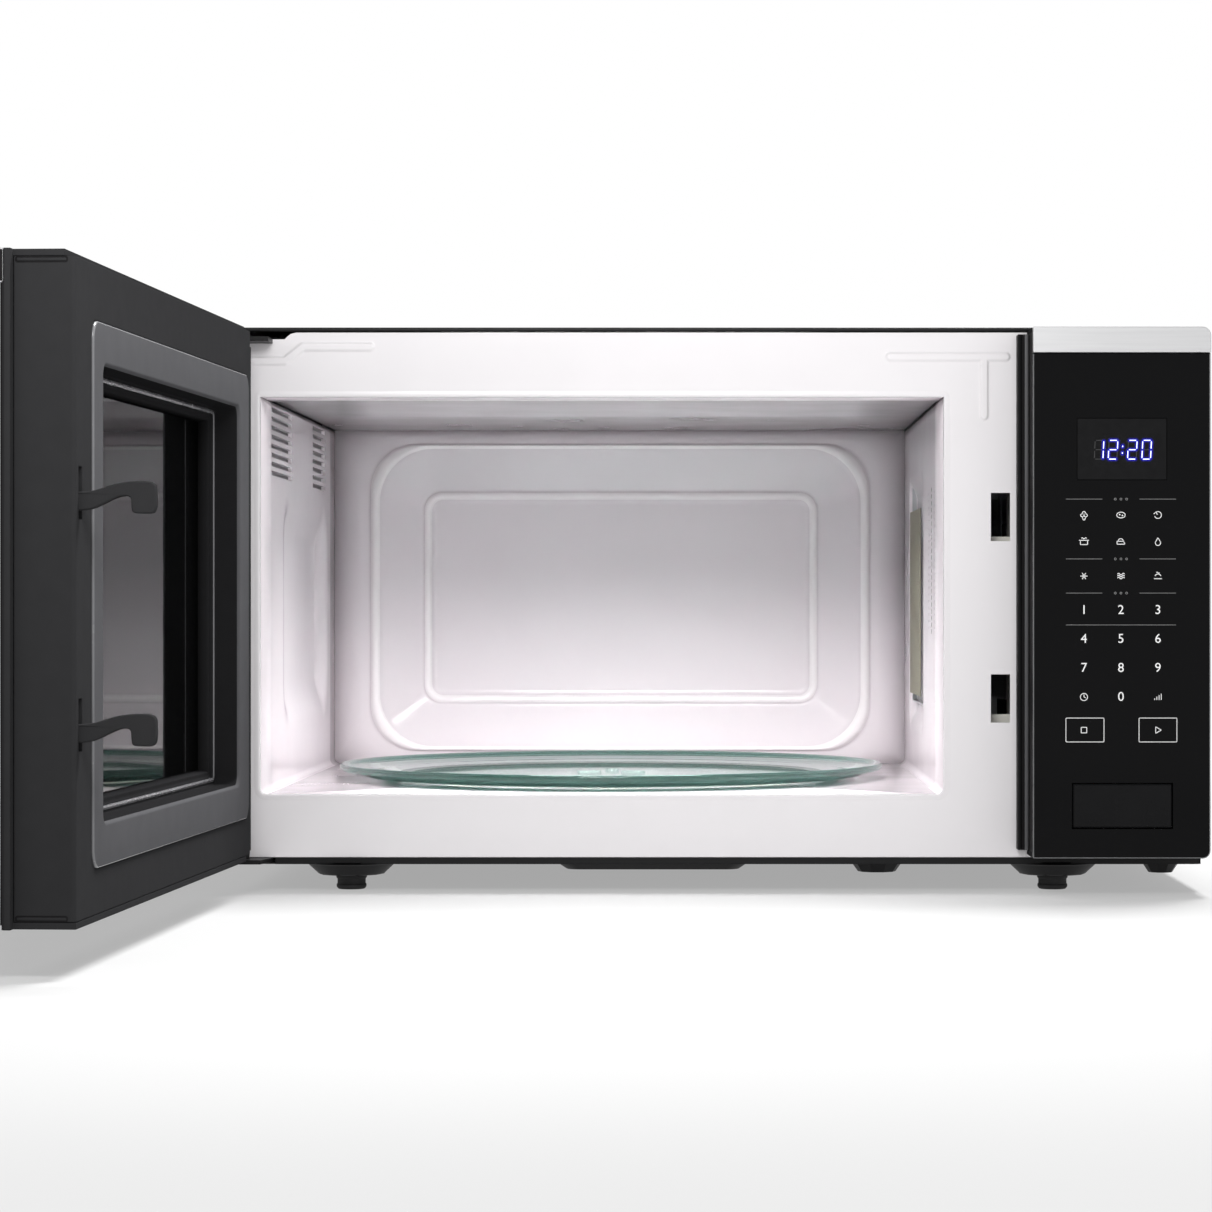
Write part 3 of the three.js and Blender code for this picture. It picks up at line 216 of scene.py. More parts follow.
def finish(name, srgb, roughness, metal=0.0, mottle=0.04, blotch=60, grain=0.01, grain_scale=900,
           stretch=(1, 1, 1), edge=0.0, spread=0.1, shine=0.5):
    """A finish: colour varied by mottle, roughness by spread, a bump of `grain` mm at
    grain_scale, both drawn out by stretch, and edges rounded by `edge` mm in the shading."""
    material = bpy.data.materials.new(name)
    material.use_nodes = True
    nodes, links = material.node_tree.nodes, material.node_tree.links
    shader = nodes["Principled BSDF"]
    place = nodes.new("ShaderNodeMapping")
    place.inputs["Scale"].default_value = stretch
    links.new(nodes.new("ShaderNodeTexCoord").outputs["Object"], place.inputs["Vector"])
    vector = place.outputs["Vector"]
    slow = noise(nodes, links, vector, blotch)
    fast = noise(nodes, links, vector, grain_scale, 2.0)
    colour = linear(srgb)
    ramp = nodes.new("ShaderNodeValToRGB")
    ramp.color_ramp.elements[0].position = NOISE_LOW
    ramp.color_ramp.elements[1].position = NOISE_HIGH
    ramp.color_ramp.elements[0].color = (*(colour * (1 - mottle)), 1)
    ramp.color_ramp.elements[1].color = (*np.clip(colour * (1 + mottle), 0, 1), 1)
    links.new(slow, ramp.inputs["Fac"])
    links.new(ramp.outputs["Color"], shader.inputs["Base Color"])
    links.new(mapped(nodes, links, slow, roughness * (1 - spread), roughness * (1 + spread)),
              shader.inputs["Roughness"])
    bump = nodes.new("ShaderNodeBump")
    bump.inputs["Distance"].default_value = grain * MM
    links.new(fast, bump.inputs["Height"])
    if edge:
        bevel = nodes.new("ShaderNodeBevel")
        bevel.samples = 4
        bevel.inputs["Radius"].default_value = edge * MM
        links.new(bevel.outputs["Normal"], bump.inputs["Normal"])
    links.new(bump.outputs["Normal"], shader.inputs["Normal"])
    shader.inputs["Metallic"].default_value = metal
    shader.inputs["Specular IOR Level"].default_value = shine
    return material


def glass(name, srgb, tint, density, roughness=0.02, grain=0.01, solid=1.0, clear=1.0, bend=1.5):
    """Clear glass that grows darker with depth: tint is what its body lets through, and solid is
    the share of light that it bends instead of letting it pass straight on. clear is the share
    that enters at all, and bend its index of refraction."""
    material = finish(name, srgb, roughness, mottle=0.01, grain=grain, grain_scale=60)
    nodes, links = material.node_tree.nodes, material.node_tree.links
    shader = nodes["Principled BSDF"]
    shader.inputs["Transmission Weight"].default_value = clear
    shader.inputs["IOR"].default_value = bend
    shader.inputs["Alpha"].default_value = solid
    body = nodes.new("ShaderNodeVolumeAbsorption")
    body.inputs["Color"].default_value = (*linear(tint), 1)
    body.inputs["Density"].default_value = density
    links.new(body.outputs["Volume"], nodes["Material Output"].inputs["Volume"])
    return material


# %% [markdown]
# ## The finishes of this oven
# The steel and copper are drawn out along one direction, as rolling and winding leave them. The
# black parts have very little sheen, which is what separates moulded plastic and satin powder
# coat from the gloss of the panel glass. Each finish carries the name of an engineering slot.

# %% The finishes of this oven
BRUSHED_X = (0.02, 1, 1)
FINISHES = {
    "white_enamel": finish("white_enamel", (232, 229, 231), 0.24, mottle=0.006, blotch=25,
                           grain=0.012, grain_scale=450, edge=0.5),
    "black_paint": finish("black_paint", (17, 17, 18), 0.42, mottle=0.02, blotch=90, spread=0.03,
                          grain=0.05, grain_scale=1400, edge=0.6, shine=0.2),
    "zinc_steel": finish("zinc_steel", (176, 178, 180), 0.38, metal=0.9, mottle=0.10, blotch=70,
                         grain=0.006, grain_scale=400, edge=0.4),
    "steel_band": finish("steel_band", (206, 206, 207), 0.34, metal=0.85, mottle=0.035, blotch=700,
                         grain=0.006, grain_scale=4000, stretch=BRUSHED_X, edge=0.7),
    "aluminium_fins": finish("aluminium_fins", (196, 198, 200), 0.36, metal=0.9, mottle=0.06,
                             blotch=200, stretch=(1, 1, 0.05), edge=0.2),
    "copper_wire": finish("copper_wire", (168, 92, 48), 0.35, metal=0.8, mottle=0.12, blotch=1500,
                          grain=0.12, grain_scale=1800, stretch=(0.04, 0.04, 1)),
    "black_plastic": finish("black_plastic", (45, 45, 46), 0.40, mottle=0.03, blotch=110,
                            grain=0.012, grain_scale=2200, edge=0.8, shine=0.0),
    "grey_plastic": finish("grey_plastic", (78, 78, 80), 0.40, mottle=0.03, blotch=80,
                           grain=0.014, grain_scale=2000, edge=0.5),
    "white_plastic": finish("white_plastic", (226, 224, 216), 0.42, mottle=0.03, blotch=150,
                            grain=0.015, grain_scale=1500, edge=0.4),
    "gloss_black": finish("gloss_black", (13, 13, 14), 0.10, mottle=0.06, blotch=14, grain=0.004,
                          grain_scale=40, edge=0.6, shine=0.06),
    "door_glass": finish("door_glass", (10, 10, 11), 0.06, mottle=0.08, blotch=12, grain=0.004,
                         grain_scale=30, edge=0.8, shine=0.15),
    "window_glass": glass("window_glass", (120, 124, 124), (90, 96, 96), 120, bend=1.14),
    "tray_glass": glass("tray_glass", (214, 240, 234), (96, 186, 166), 5, grain=0.02, solid=0.5,
                        clear=0.8),
    "display_glass": finish("display_glass", (24, 24, 25), 0.14, mottle=0.10, blotch=200,
                            grain=0.003, grain_scale=300, edge=0.3, shine=0.06),
    "lamp_glass": glass("lamp_glass", (250, 248, 240), (245, 240, 225), 5),
    "mica": finish("mica", (132, 127, 108), 0.55, mottle=0.12, blotch=160, grain=0.05,
                   grain_scale=700, stretch=(1, 1, 0.5), edge=0.2),
    "rubber": finish("rubber", (26, 26, 27), 0.72, mottle=0.12, blotch=200, grain=0.06,
                     grain_scale=1200, edge=0.6),
    "circuit_board": finish("circuit_board", (38, 82, 52), 0.45, mottle=0.25, blotch=350,
                            grain=0.05, grain_scale=900, edge=0.2),
    "black_perforated": finish("black_perforated", (24, 24, 25), 0.5, mottle=0.3, blotch=900,
                               grain=0.1, grain_scale=900),
}
print(len(FINISHES), "finishes")

# %% [markdown]
# ## Finishes for the fine pieces
# These are the small differences that a closer look brings out: a painted highlight along the
# beads of a pressing, painted shade inside punched holes, gaps and grooves, the ink on the panel. A
# lit figure gives light of its own.

# %% More finishes for fine pieces
SEGMENT_BASE = (20, 20, 30)


def glowing(name, srgb, strength, fade=False):
    """A lit segment. With fade, its light follows the glow stored on the mesh points."""
    material = bpy.data.materials.new(name)
    material.use_nodes = True
    nodes, links = material.node_tree.nodes, material.node_tree.links
    shader = nodes["Principled BSDF"]
    shader.inputs["Base Color"].default_value = (*linear(SEGMENT_BASE), 1)
    shader.inputs["Emission Color"].default_value = (*linear(srgb), 1)
    shader.inputs["Emission Strength"].default_value = strength
    speck = noise(nodes, links, nodes.new("ShaderNodeTexCoord").outputs["Object"], 900)
    links.new(mapped(nodes, links, speck, 0.25, 0.4), shader.inputs["Roughness"])
    if fade:
        stored = nodes.new("ShaderNodeAttribute")
        stored.attribute_name = "glow"
        links.new(stored.outputs["Fac"], shader.inputs["Alpha"])
    return material


FINISHES.update({
    "cavity_enamel": finish("cavity_enamel", (236, 229, 233), 0.11, mottle=0.012, blotch=20,
                            grain=0.010, grain_scale=300),
    "tray_rim": glass("tray_rim", (104, 148, 138), (60, 140, 122), 24, grain=0.02, clear=0.65),
    # Painted highlight for the back wall's beads: a whiter, glossier enamel.
    "bead_enamel": finish("bead_enamel", (254, 249, 251), 0.10, mottle=0.005, blotch=20, grain=0.006,
                          grain_scale=300),
    # Painted highlight for the choke cover: a lighter grey on its rim and on the bead.
    "rim_light": finish("rim_light", (100, 100, 102), 0.25, mottle=0.05, blotch=90, grain=0.006,
                        grain_scale=900),
    # Near-black: painted shade in holes, gaps and grooves, and the own black of the band's end plug.
    "hole_black": finish("hole_black", (20, 19, 20), 0.6, mottle=0.2, blotch=300, shine=0.1),
    # Painted shade on the floors of the vent pockets and the small holes.
    "vent_dark": finish("vent_dark", (96, 92, 96), 0.5, mottle=0.2, blotch=300),
    "choke_grey": finish("choke_grey", (76, 76, 78), 0.36, mottle=0.03, blotch=70,
                         grain=0.012, grain_scale=2200, shine=0.0),
    "recess_black": finish("recess_black", (32, 32, 33), 0.34, mottle=0.04, blotch=90,
                           grain=0.012, grain_scale=1800, shine=0.0),
    "button_black": finish("button_black", (22, 22, 23), 0.28, mottle=0.06, blotch=60, grain=0.006,
                           grain_scale=900, shine=0.06),
    # Painted highlight for the panel glass: a grey line along its lit edge.
    "ground_edge": finish("ground_edge", (120, 121, 122), 0.3, mottle=0.1, blotch=400, grain=0.01,
                          grain_scale=1500),
    "print_white": finish("print_white", (236, 236, 236), 0.5, mottle=0.02, blotch=500),
    "print_grey": finish("print_grey", (118, 118, 118), 0.5, mottle=0.04, blotch=500),
    "segment_lit": glowing("segment_lit", (214, 222, 255), 2.4),
    "segment_dark": finish("segment_dark", (34, 34, 36), 0.4, mottle=0.1, blotch=500),
    "segment_glow": glowing("segment_glow", (20, 20, 235), 1.3, fade=True),
})
print(len(FINISHES), "finishes in all")

# %% [markdown]
# ## Coating
# Every engineering part names the finish it is meant to have. Swapping that flat colour for the
# finish of the same name coats the whole oven at once, inside and out.

# %% Coat the engineering parts
for node in frame["nodes"].values():
    slot = next((m.name for m in node.data.materials if m), "")
    coat = next(name for name in FINISHES if slot.startswith(name))
    node.data.materials.clear()
    node.data.materials.append(FINISHES[coat])
print(len(frame["nodes"]), "engineering parts coated")

# %% [markdown]
# ## Shapes from arrays
# Every new surface below is a grid of points: a rounded outline taken through a section, a
# profile turned about a line, or a sheet pressed by a height that depends on where you are on
# it. These few helpers compute such grids as whole arrays and join them into meshes.

# %% Points and faces
def placed(points, door=False):
    """Layout millimetres to frame metres. Door pieces are laid out closed, then turned open."""
    p = np.asarray(points, float).reshape(-1, 3)
    if door:
        c, s = math.cos(OPEN_ANGLE), math.sin(OPEN_ANGLE)
        x, y = p[:, 0] - HINGE[0], p[:, 1] - HINGE[1]
        p = np.stack([HINGE[0] + c * x - s * y, HINGE[1] + s * x + c * y, p[:, 2]], -1)
    return p * MM + layout_origin


def surface(grid, loop_rows=False, loop_columns=False, cap_first=False, cap_last=False, marks=None):
    """A surface through a (rows, columns, 3) grid; loops join its last line to its first, caps
    fill the first and last row. marks holds the number of each cell's coat, 0 for the first."""
    rows, columns = grid.shape[:2]
    i = np.arange(rows if loop_rows else rows - 1)
    j = np.arange(columns if loop_columns else columns - 1)
    i, j = [a.ravel() for a in np.meshgrid(i, j, indexing="ij")]
    i2, j2 = (i + 1) % rows, (j + 1) % columns
    quads = np.stack([i * columns + j, i2 * columns + j, i2 * columns + j2, i * columns + j2], -1)
    caps = []
    if cap_first:
        caps.append(list(range(columns)))
    if cap_last:
        caps.append(list(range((rows - 1) * columns, rows * columns))[::-1])
    tags = np.zeros(len(quads), int) if marks is None else marks.ravel().astype(int)
    return {"points": grid.reshape(-1, 3), "quads": quads, "caps": caps, "marks": tags}


def facing(shape, target):
    """Turns an open surface's faces towards a target point, by the sum of normal times direction."""
    corners = shape["points"][shape["quads"]]
    normal = np.cross(corners[:, 2] - corners[:, 0], corners[:, 3] - corners[:, 1])
    if np.sum(normal * (np.asarray(target, float) - corners.mean(1))) < 0:
        shape["quads"] = shape["quads"][:, ::-1]
        shape["caps"] = [cap[::-1] for cap in shape["caps"]]
    return shape


def piece(name, shapes, coats, body, stands_for=(), door=False, closed=True, sharp=35,
          wall=0.0):
    """Joins surfaces into one mesh, merges doubled points, turns closed shells outwards, shades
    it smooth except over sharp degrees, and lets it ride on its body."""
    starts = np.cumsum([0] + [len(s["points"]) for s in shapes])
    points = placed(np.concatenate([s["points"] for s in shapes]), door)
    faces = np.concatenate([s["quads"] + k for s, k in zip(shapes, starts)]).tolist()
    marks = np.concatenate([s["marks"] for s in shapes]).tolist()
    for s, k in zip(shapes, starts):
        faces += [[i + int(k) for i in cap] for cap in s["caps"]]
        marks += [0] * len(s["caps"])
    mesh = bpy.data.meshes.new(name)
    mesh.from_pydata(points.tolist(), [], faces)
    mesh.polygons.foreach_set("material_index", marks)
    work = bmesh.new()
    work.from_mesh(mesh)
    bmesh.ops.remove_doubles(work, verts=work.verts, dist=5e-7)
    if closed:
        bmesh.ops.recalc_face_normals(work, faces=work.faces)
    work.to_mesh(mesh)
    work.free()
    mesh.polygons.foreach_set("use_smooth", np.ones(len(mesh.polygons), bool))
    mesh.set_sharp_from_angle(angle=math.radians(sharp))
    for coat in coats if isinstance(coats, (list, tuple)) else [coats]:
        mesh.materials.append(FINISHES[coat])
    made = bpy.data.objects.new(name, mesh)
    bpy.context.scene.collection.objects.link(made)
    if wall:
        solid = made.modifiers.new("wall", "SOLIDIFY")
        solid.thickness = wall * MM
        solid.offset = -1
    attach(made, body)
    if stands_for:
        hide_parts(*stands_for)
    print(f"{name}: {len(mesh.polygons)} faces, rides on {body}")
    return made


# %% [markdown]
# ## Outlines, sections and turned profiles
# A pressing, a moulding and a turned foot are all the same idea: a small section, drawn once, and
# an outline that it follows. Drawing sections with rounded corners from the start gives every
# edge the soft line that a tool leaves, without a bevel to tune afterwards.

# %% Outlines, sections and turned profiles
def rounded_line(points, radius, steps=4):
    """Rounds the inner corners of a line: each is cut back by up to radius along both sides and
    bridged by a curve that starts and ends on the sides (a quadratic Bezier)."""
    p = np.asarray(points, float)
    back, on = p[:-2] - p[1:-1], p[2:] - p[1:-1]
    back_length = np.linalg.norm(back, axis=1, keepdims=True)
    on_length = np.linalg.norm(on, axis=1, keepdims=True)
    r = np.broadcast_to(np.asarray(radius, float), len(back)).reshape(-1, 1)
    a = p[1:-1] + back / back_length * np.minimum(r, back_length * 0.48)
    b = p[1:-1] + on / on_length * np.minimum(r, on_length * 0.48)
    t = np.linspace(0, 1, steps + 1)[None, :, None]
    curve = (1 - t) ** 2 * a[:, None] + 2 * t * (1 - t) * p[1:-1][:, None] + t**2 * b[:, None]
    return np.concatenate([p[:1], curve.reshape(-1, p.shape[1]), p[-1:]])


def rounded_rings(outlines, corner=10):
    """Rounded rectangles, one per row of left, right, bottom, top, bottom radius, top radius:
    each corner is its centre plus radius times (cos, sin) over a quarter turn."""
    left, right, bottom, top, low, high = np.asarray(outlines, float).T
    half = np.minimum(right - left, top - bottom) / 2
    low, high = np.clip(low, 0.05, half), np.clip(high, 0.05, half)
    r = np.stack([high, high, low, low], 1)
    cx = np.stack([right - high, left + high, left + low, right - low], 1)
    cz = np.stack([top - high, top - high, bottom + low, bottom + low], 1)
    angle = np.linspace(0, np.pi / 2, corner + 1)[None] + np.arange(4)[:, None] * np.pi / 2
    x = cx[..., None] + r[..., None] * np.cos(angle)
    z = cz[..., None] + r[..., None] * np.sin(angle)
    return np.stack([x.reshape(len(r), -1), z.reshape(len(r), -1)], -1)


def grown(outline, by):
    """The outline moved outwards by a distance, its corner radii with it."""
    return np.asarray(outline, float) + np.array([-by, by, -by, by, by, by])


def moulding(knots, outlines, section, order=(0, 2, 1), corner=10):
    """Rings of a pressing: a section row is (inset, depth), and at each inset the outline is
    read off between the outlines given at the knots. order puts (across, up, depth) on x, y, z."""
    section = np.asarray(section, float)
    table = np.asarray(outlines, float).T
    rows = np.stack([np.interp(section[:, 0], knots, column) for column in table], -1)
    flat = rounded_rings(rows, corner)
    depth = np.broadcast_to(section[:, 1, None], flat.shape[:2])
    return np.concatenate([flat, depth[..., None]], -1)[..., list(order)]


def carried(path, section, closed=False, order=(0, 2, 1)):
    """Carries a section along a flat path: each point moves inwards by inset along the path's
    own normal, which is its tangent turned a quarter, and to the section's depth."""
    path, section = np.asarray(path, float), np.asarray(section, float)
    if closed:
        tangent = np.roll(path, -1, 0) - np.roll(path, 1, 0)
    else:
        tangent = np.gradient(path, axis=0)
    tangent /= np.linalg.norm(tangent, axis=1, keepdims=True)
    inwards = np.stack([-tangent[:, 1], tangent[:, 0]], -1)
    flat = path[None] + section[:, 0, None, None] * inwards[None]
    depth = np.broadcast_to(section[:, 1, None], flat.shape[:2])
    return np.concatenate([flat, depth[..., None]], -1)[..., list(order)]


def turned(profile, centre, steps=96):
    """Turns a profile of (radius, height) about the upright line through centre."""
    profile = np.asarray(profile, float)
    angle = np.arange(steps) * 2 * np.pi / steps
    x = centre[0] + profile[:, :1] * np.cos(angle)
    y = centre[1] + profile[:, :1] * np.sin(angle)
    return np.stack([x, y, np.broadcast_to(profile[:, 1:], x.shape)], -1)


def eased(t):
    """A smooth step from 0 to 1: t squared times (3 - 2t)."""
    t = np.clip(t, 0, 1)
    return t * t * (3 - 2 * t)


def span(node):
    """A CAD node's lowest and highest corners in layout millimetres."""
    return (np.array(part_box(node)) - layout_origin) / MM


# %% [markdown]
# ## The outer case
# The case is one sheet of steel folded over the top and down both sides, powder coated black.
# A bent sheet never has a knife edge, so the wrap is a rounded path carried from front to back,
# with the rear edge turned in as the stiffening flange that the screws go through.

# %% Outer case
SHEET = 1.0
BEND = 3.5
case_lo, case_hi = span("outer_case")
plate_lo, plate_hi = span("front_plate")
FLANGE = 14.0
front_y = plate_hi[1] + 0.3
wrap_section = rounded_line([
    (SHEET, front_y + 6), (SHEET, front_y), (0, front_y), (0, case_hi[1]), (FLANGE, case_hi[1]),
    (FLANGE, case_hi[1] - SHEET), (SHEET, case_hi[1] - SHEET), (SHEET, front_y + 6)], 0.9, 4)


def wrap_line(inset, y):
    """The case outline moved inwards by inset, open at the bottom, at the depth y."""
    left, right, top = case_lo[0] + inset, case_hi[0] - inset, case_hi[2] - inset
    corners = [(left, case_lo[2]), (left, top), (right, top), (right, case_lo[2])]
    flat = rounded_line(corners, max(BEND - inset, 0.4), 8)
    return np.stack([flat[:, 0], np.full(len(flat), y), flat[:, 1]], -1)


wrap_shape = surface(np.stack([wrap_line(inset, y) for inset, y in wrap_section]))
HEM_BOTTOM = 322.5
hem_outline = rounded_line([
    (front_y + 5, HEM_BOTTOM), (plate_lo[1] + 0.8, HEM_BOTTOM), (plate_lo[1] + 0.8, case_hi[2]),
    (front_y + 5, case_hi[2]), (front_y + 5, HEM_BOTTOM)], 0.9, 4)[:-1]
hem_x = np.array([case_lo[0] + 0.5, case_hi[0] - 0.5])
hem = np.stack([np.column_stack([np.full(len(hem_outline), x), hem_outline]) for x in hem_x])
piece("case_wrap", [wrap_shape, surface(hem, loop_columns=True, cap_first=True, cap_last=True)],
      "black_paint", "cabinet", ["outer_case"])

# %% [markdown]
# ## Front plate
# The white plate round the cavity is stamped: its mouth edge rolls inwards and two raised beads
# stiffen the corners. A bead is a height that depends only on the distance to a line, so the
# same rule draws straight runs, kinks and T-joints without a seam.

# %% Beads on the front plate
PLATE_Y = float(plate_lo[1]) + 0.8
BEAD_HEIGHT, BEAD_FLAT, BEAD_FOOT = 0.98, 1.45, 2.9


def distance_to_lines(x, z, runs):
    """The least distance from (x, z) to a set of straight runs: the point is dropped onto each
    run, held between its ends, and measured."""
    best = np.full(x.shape, np.inf)
    for (x0, z0), (x1, z1) in runs:
        length_squared = (x1 - x0) ** 2 + (z1 - z0) ** 2
        along = np.clip(((x - x0) * (x1 - x0) + (z - z0) * (z1 - z0)) / length_squared, 0, 1)
        best = np.minimum(best, np.hypot(x - x0 - along * (x1 - x0), z - z0 - along * (z1 - z0)))
    return best


def bead_patch(runs, x0, x1, z0, z1, step=0.45):
    """A patch of the plate with its beads: full height along a run, easing to the plate."""
    x, z = np.meshgrid(np.arange(x0, x1, step), np.arange(z0, z1, step), indexing="ij")
    distance = distance_to_lines(x, z, runs)
    height = BEAD_HEIGHT * eased(1 - (distance - BEAD_FLAT) / (BEAD_FOOT - BEAD_FLAT))
    return facing(surface(np.stack([x, PLATE_Y - 0.02 - height, z], -1)), (0, -2000, 160))


left_corners = [(-270, 305.6), (-249.4, 305.6), (-239.1, 313.7), (-200.5, 313.7)]
left_runs = list(zip(left_corners[:-1], left_corners[1:]))
right_runs = [((98.9, 308), (165.6, 308)), ((153, 308), (153, 274))]
beads = [bead_patch(left_runs, -277.5, -195.5, 301, 318.2), bead_patch(right_runs, 94, 171, 303, 313),
         bead_patch(right_runs, 148.3, 157.8, 269.5, 303)]
piece("plate_beads", beads, "white_enamel", "cabinet", closed=False)

# %% [markdown]
# ## Rolled mouth edge
# Where the plate meets the cavity its edge rolls inwards, so no cut steel is left for a hand or a
# cloth. The roll is one short section carried round the mouth.

# %% Rolled mouth edge
shell_lo, shell_hi = span("cavity_shell")
back_lo, back_hi = span("cavity_back_wall")
ceiling_lo, ceiling_hi = span("cavity_ceiling")
LEFT, RIGHT = float(shell_lo[0]) + SHEET, float(shell_hi[0]) - SHEET
FLOOR, ROOF, BACK = 56.0, float(ceiling_lo[2]), float(back_lo[1]) - 0.3
FRONT = float(shell_lo[1])
mouth = (LEFT, RIGHT, FLOOR, ROOF, 4, 0.3)
lip_section = rounded_line([(-3.2, PLATE_Y - 0.03), (-1.6, PLATE_Y - 0.25), (0.05, PLATE_Y - 0.2),
                            (0.12, FRONT + 3)], 1.4, 6)
lip = moulding([-4, 0, 1], [grown(mouth, 4), mouth, grown(mouth, -1)], lip_section)
piece("mouth_edge", [facing(surface(lip, loop_columns=True), (-67, -2000, 160))], "white_enamel",
      "cabinet", closed=False)

# %% [markdown]
# ## The cavity
# The floor and both sides of the cavity are one bent sheet, enamelled white. The left wall
# carries the vents, and both walls have a shallow tray pressed outwards. Each wall is a sheet of
# grid lines set closer where a feature needs them, pushed outwards by a depth, so slots and
# holes are real pockets in one continuous skin. The pocket floors take a darker finish, which is
# painted shade.

# %% Side walls
CORNER = 4.0


def lines(*groups):
    """All the grid lines of several groups, in order and without doubles."""
    return np.unique(np.round(np.concatenate([np.ravel(np.asarray(g, float)) for g in groups]), 3))


def pressed(y, z, y0, y1, z0, z1, slope, depth):
    """A tray pressed into a sheet: full depth inside the box, easing to nothing over slope."""
    dy = np.maximum(np.abs(y - (y0 + y1) / 2) - (y1 - y0) / 2, 0)
    dz = np.maximum(np.abs(z - (z0 + z1) / 2) - (z1 - z0) / 2, 0)
    return depth * eased(1 - np.hypot(dy, dz) / slope)


def wall_lines(z_lines):
    """Distance from the wall and height of each line: straight down, then the corner's curve."""
    turn = np.linspace(0, np.pi / 2, 7)[1:]
    straight = np.asarray(z_lines)[::-1]
    away = np.concatenate([np.zeros(len(straight)), CORNER - CORNER * np.cos(turn)])
    height = np.concatenate([straight, FLOOR + CORNER - CORNER * np.sin(turn)])
    return away, height


def cells_inside(points):
    """The cells with all four corners among the chosen points."""
    return points[:-1, :-1] & points[1:, 1:] & points[1:, :-1] & points[:-1, 1:]


def cells_touched(points):
    """The cells with any corner among the chosen points."""
    return points[:-1, :-1] | points[1:, 1:] | points[1:, :-1] | points[:-1, 1:]


VENT_GROUPS = np.array([[89, 185], [296, 364]])
VENT_ROWS = 242 + 5.36 * np.arange(8)
VENT_HEIGHT, VENT_DEPTH, EDGE = 2.8, 2.2, 0.3
y_lines = lines(FRONT, BACK, np.arange(120, 402, 6), VENT_GROUPS, VENT_GROUPS + [[EDGE, -EDGE]])
z_lines = lines(FLOOR + CORNER, ROOF, np.arange(72, 238, 5), VENT_ROWS, VENT_ROWS + EDGE,
                VENT_ROWS + VENT_HEIGHT - EDGE, VENT_ROWS + VENT_HEIGHT)
away, height = wall_lines(z_lines)
y, z = np.meshgrid(y_lines, height)
group_near, group_far = VENT_GROUPS[:, 0] + EDGE / 2, VENT_GROUPS[:, 1] - EDGE / 2
row_low, row_high = VENT_ROWS + EDGE / 2, VENT_ROWS + VENT_HEIGHT - EDGE / 2
in_group = ((y[..., None] > group_near) & (y[..., None] < group_far)).any(-1)
in_row = ((z[..., None] > row_low) & (z[..., None] < row_high)).any(-1)
deep = in_group & in_row
x = LEFT + away[:, None] - (pressed(y, z, 172, 352, 118, 204, 26, 5.5) + VENT_DEPTH * deep)
# The cells inside a vent pocket get the painted shade finish.
left_wall = facing(surface(np.stack([x, y, z], -1), marks=cells_inside(deep)), (0, 230, 160))

# %% [markdown]
# ## Right wall
# Three upright rows of punched holes let the lamp shine in: small holes at the sides and wider
# ones in the middle. A hole is made by bending a square patch of the grid into a disc and
# pushing it in, so it stays part of the wall's skin. Its floor is painted shade, darkest in the
# wide middle row.

# %% Right wall with its punched field
PITCH, HOLE_DEPTH = 4.1, 1.6
SMALL_HOLE, WIDE_HOLE, WIDE_ROW = 1.15, 1.7, 143
# Each row of holes is its y, the hole's radius, the lowest hole's height and how many there are.
PUNCHED = [(119, SMALL_HOLE, 151, 21), (WIDE_ROW, WIDE_HOLE, 149, 22), (168, SMALL_HOLE, 151, 21)]


def punch(y, z):
    """Bends a square patch of grid lines into a disc at each hole (u times the root of
    1 - v*v/2, and the same for v) and returns how deep each point goes."""
    depth = np.zeros(y.shape)
    for cy, r, first, count in PUNCHED:
        cz = first + PITCH * np.clip(np.round((z - first) / PITCH), 0, count - 1)
        u, v = (y - cy) / r, (z - cz) / r
        inside = (np.abs(u) <= 1.001) & (np.abs(v) <= 1.001)
        round_y = cy + r * u * np.sqrt(np.clip(1 - v * v / 2, 0, 1))
        round_z = cz + r * v * np.sqrt(np.clip(1 - u * u / 2, 0, 1))
        y, z = np.where(inside, round_y, y), np.where(inside, round_z, z)
        depth = np.where(inside & (np.maximum(np.abs(u), np.abs(v)) < 0.95), HOLE_DEPTH, depth)
    return y, z, depth


HOLE_STEPS = np.array([-1, -0.88, -0.4, 0.4, 0.88, 1])
hole_y = [cy + r * HOLE_STEPS for cy, r, first, count in PUNCHED]
hole_z = [first + PITCH * np.arange(count)[:, None] + r * HOLE_STEPS for cy, r, first, count in PUNCHED]
y_lines = lines(FRONT, BACK, np.arange(206, 402, 5), *hole_y)
z_lines = lines(FLOOR + CORNER, ROOF, np.arange(70, 146, 4), np.arange(240, 284, 4), *hole_z)
away, height = wall_lines(z_lines)
y, z = np.meshgrid(y_lines, height)
y, z, depth = punch(y, z)
in_wide_row = np.abs(y[:-1, :-1] - WIDE_ROW) < 2 * WIDE_HOLE
# The cells of a hole get painted shade, darkest in the wide middle row.
marks = cells_touched(depth > 0) * np.where(in_wide_row, 2, 1)
x = RIGHT - away[:, None] + depth + pressed(y, z, 238, 352, 98, 236, 13, 4.5)
right_wall = facing(surface(np.stack([x, y, z], -1), marks=marks), (-60, 230, 160))
print(sum(row[-1] for row in PUNCHED), "punched holes")

# %% [markdown]
# ## Cavity floor
# The roller ring runs in a round well, while the floor's edge is square. Rays from the centre of
# the turntable join the two: near it they follow the well's turned section, and the last ring
# runs out to wherever each ray meets the wall.

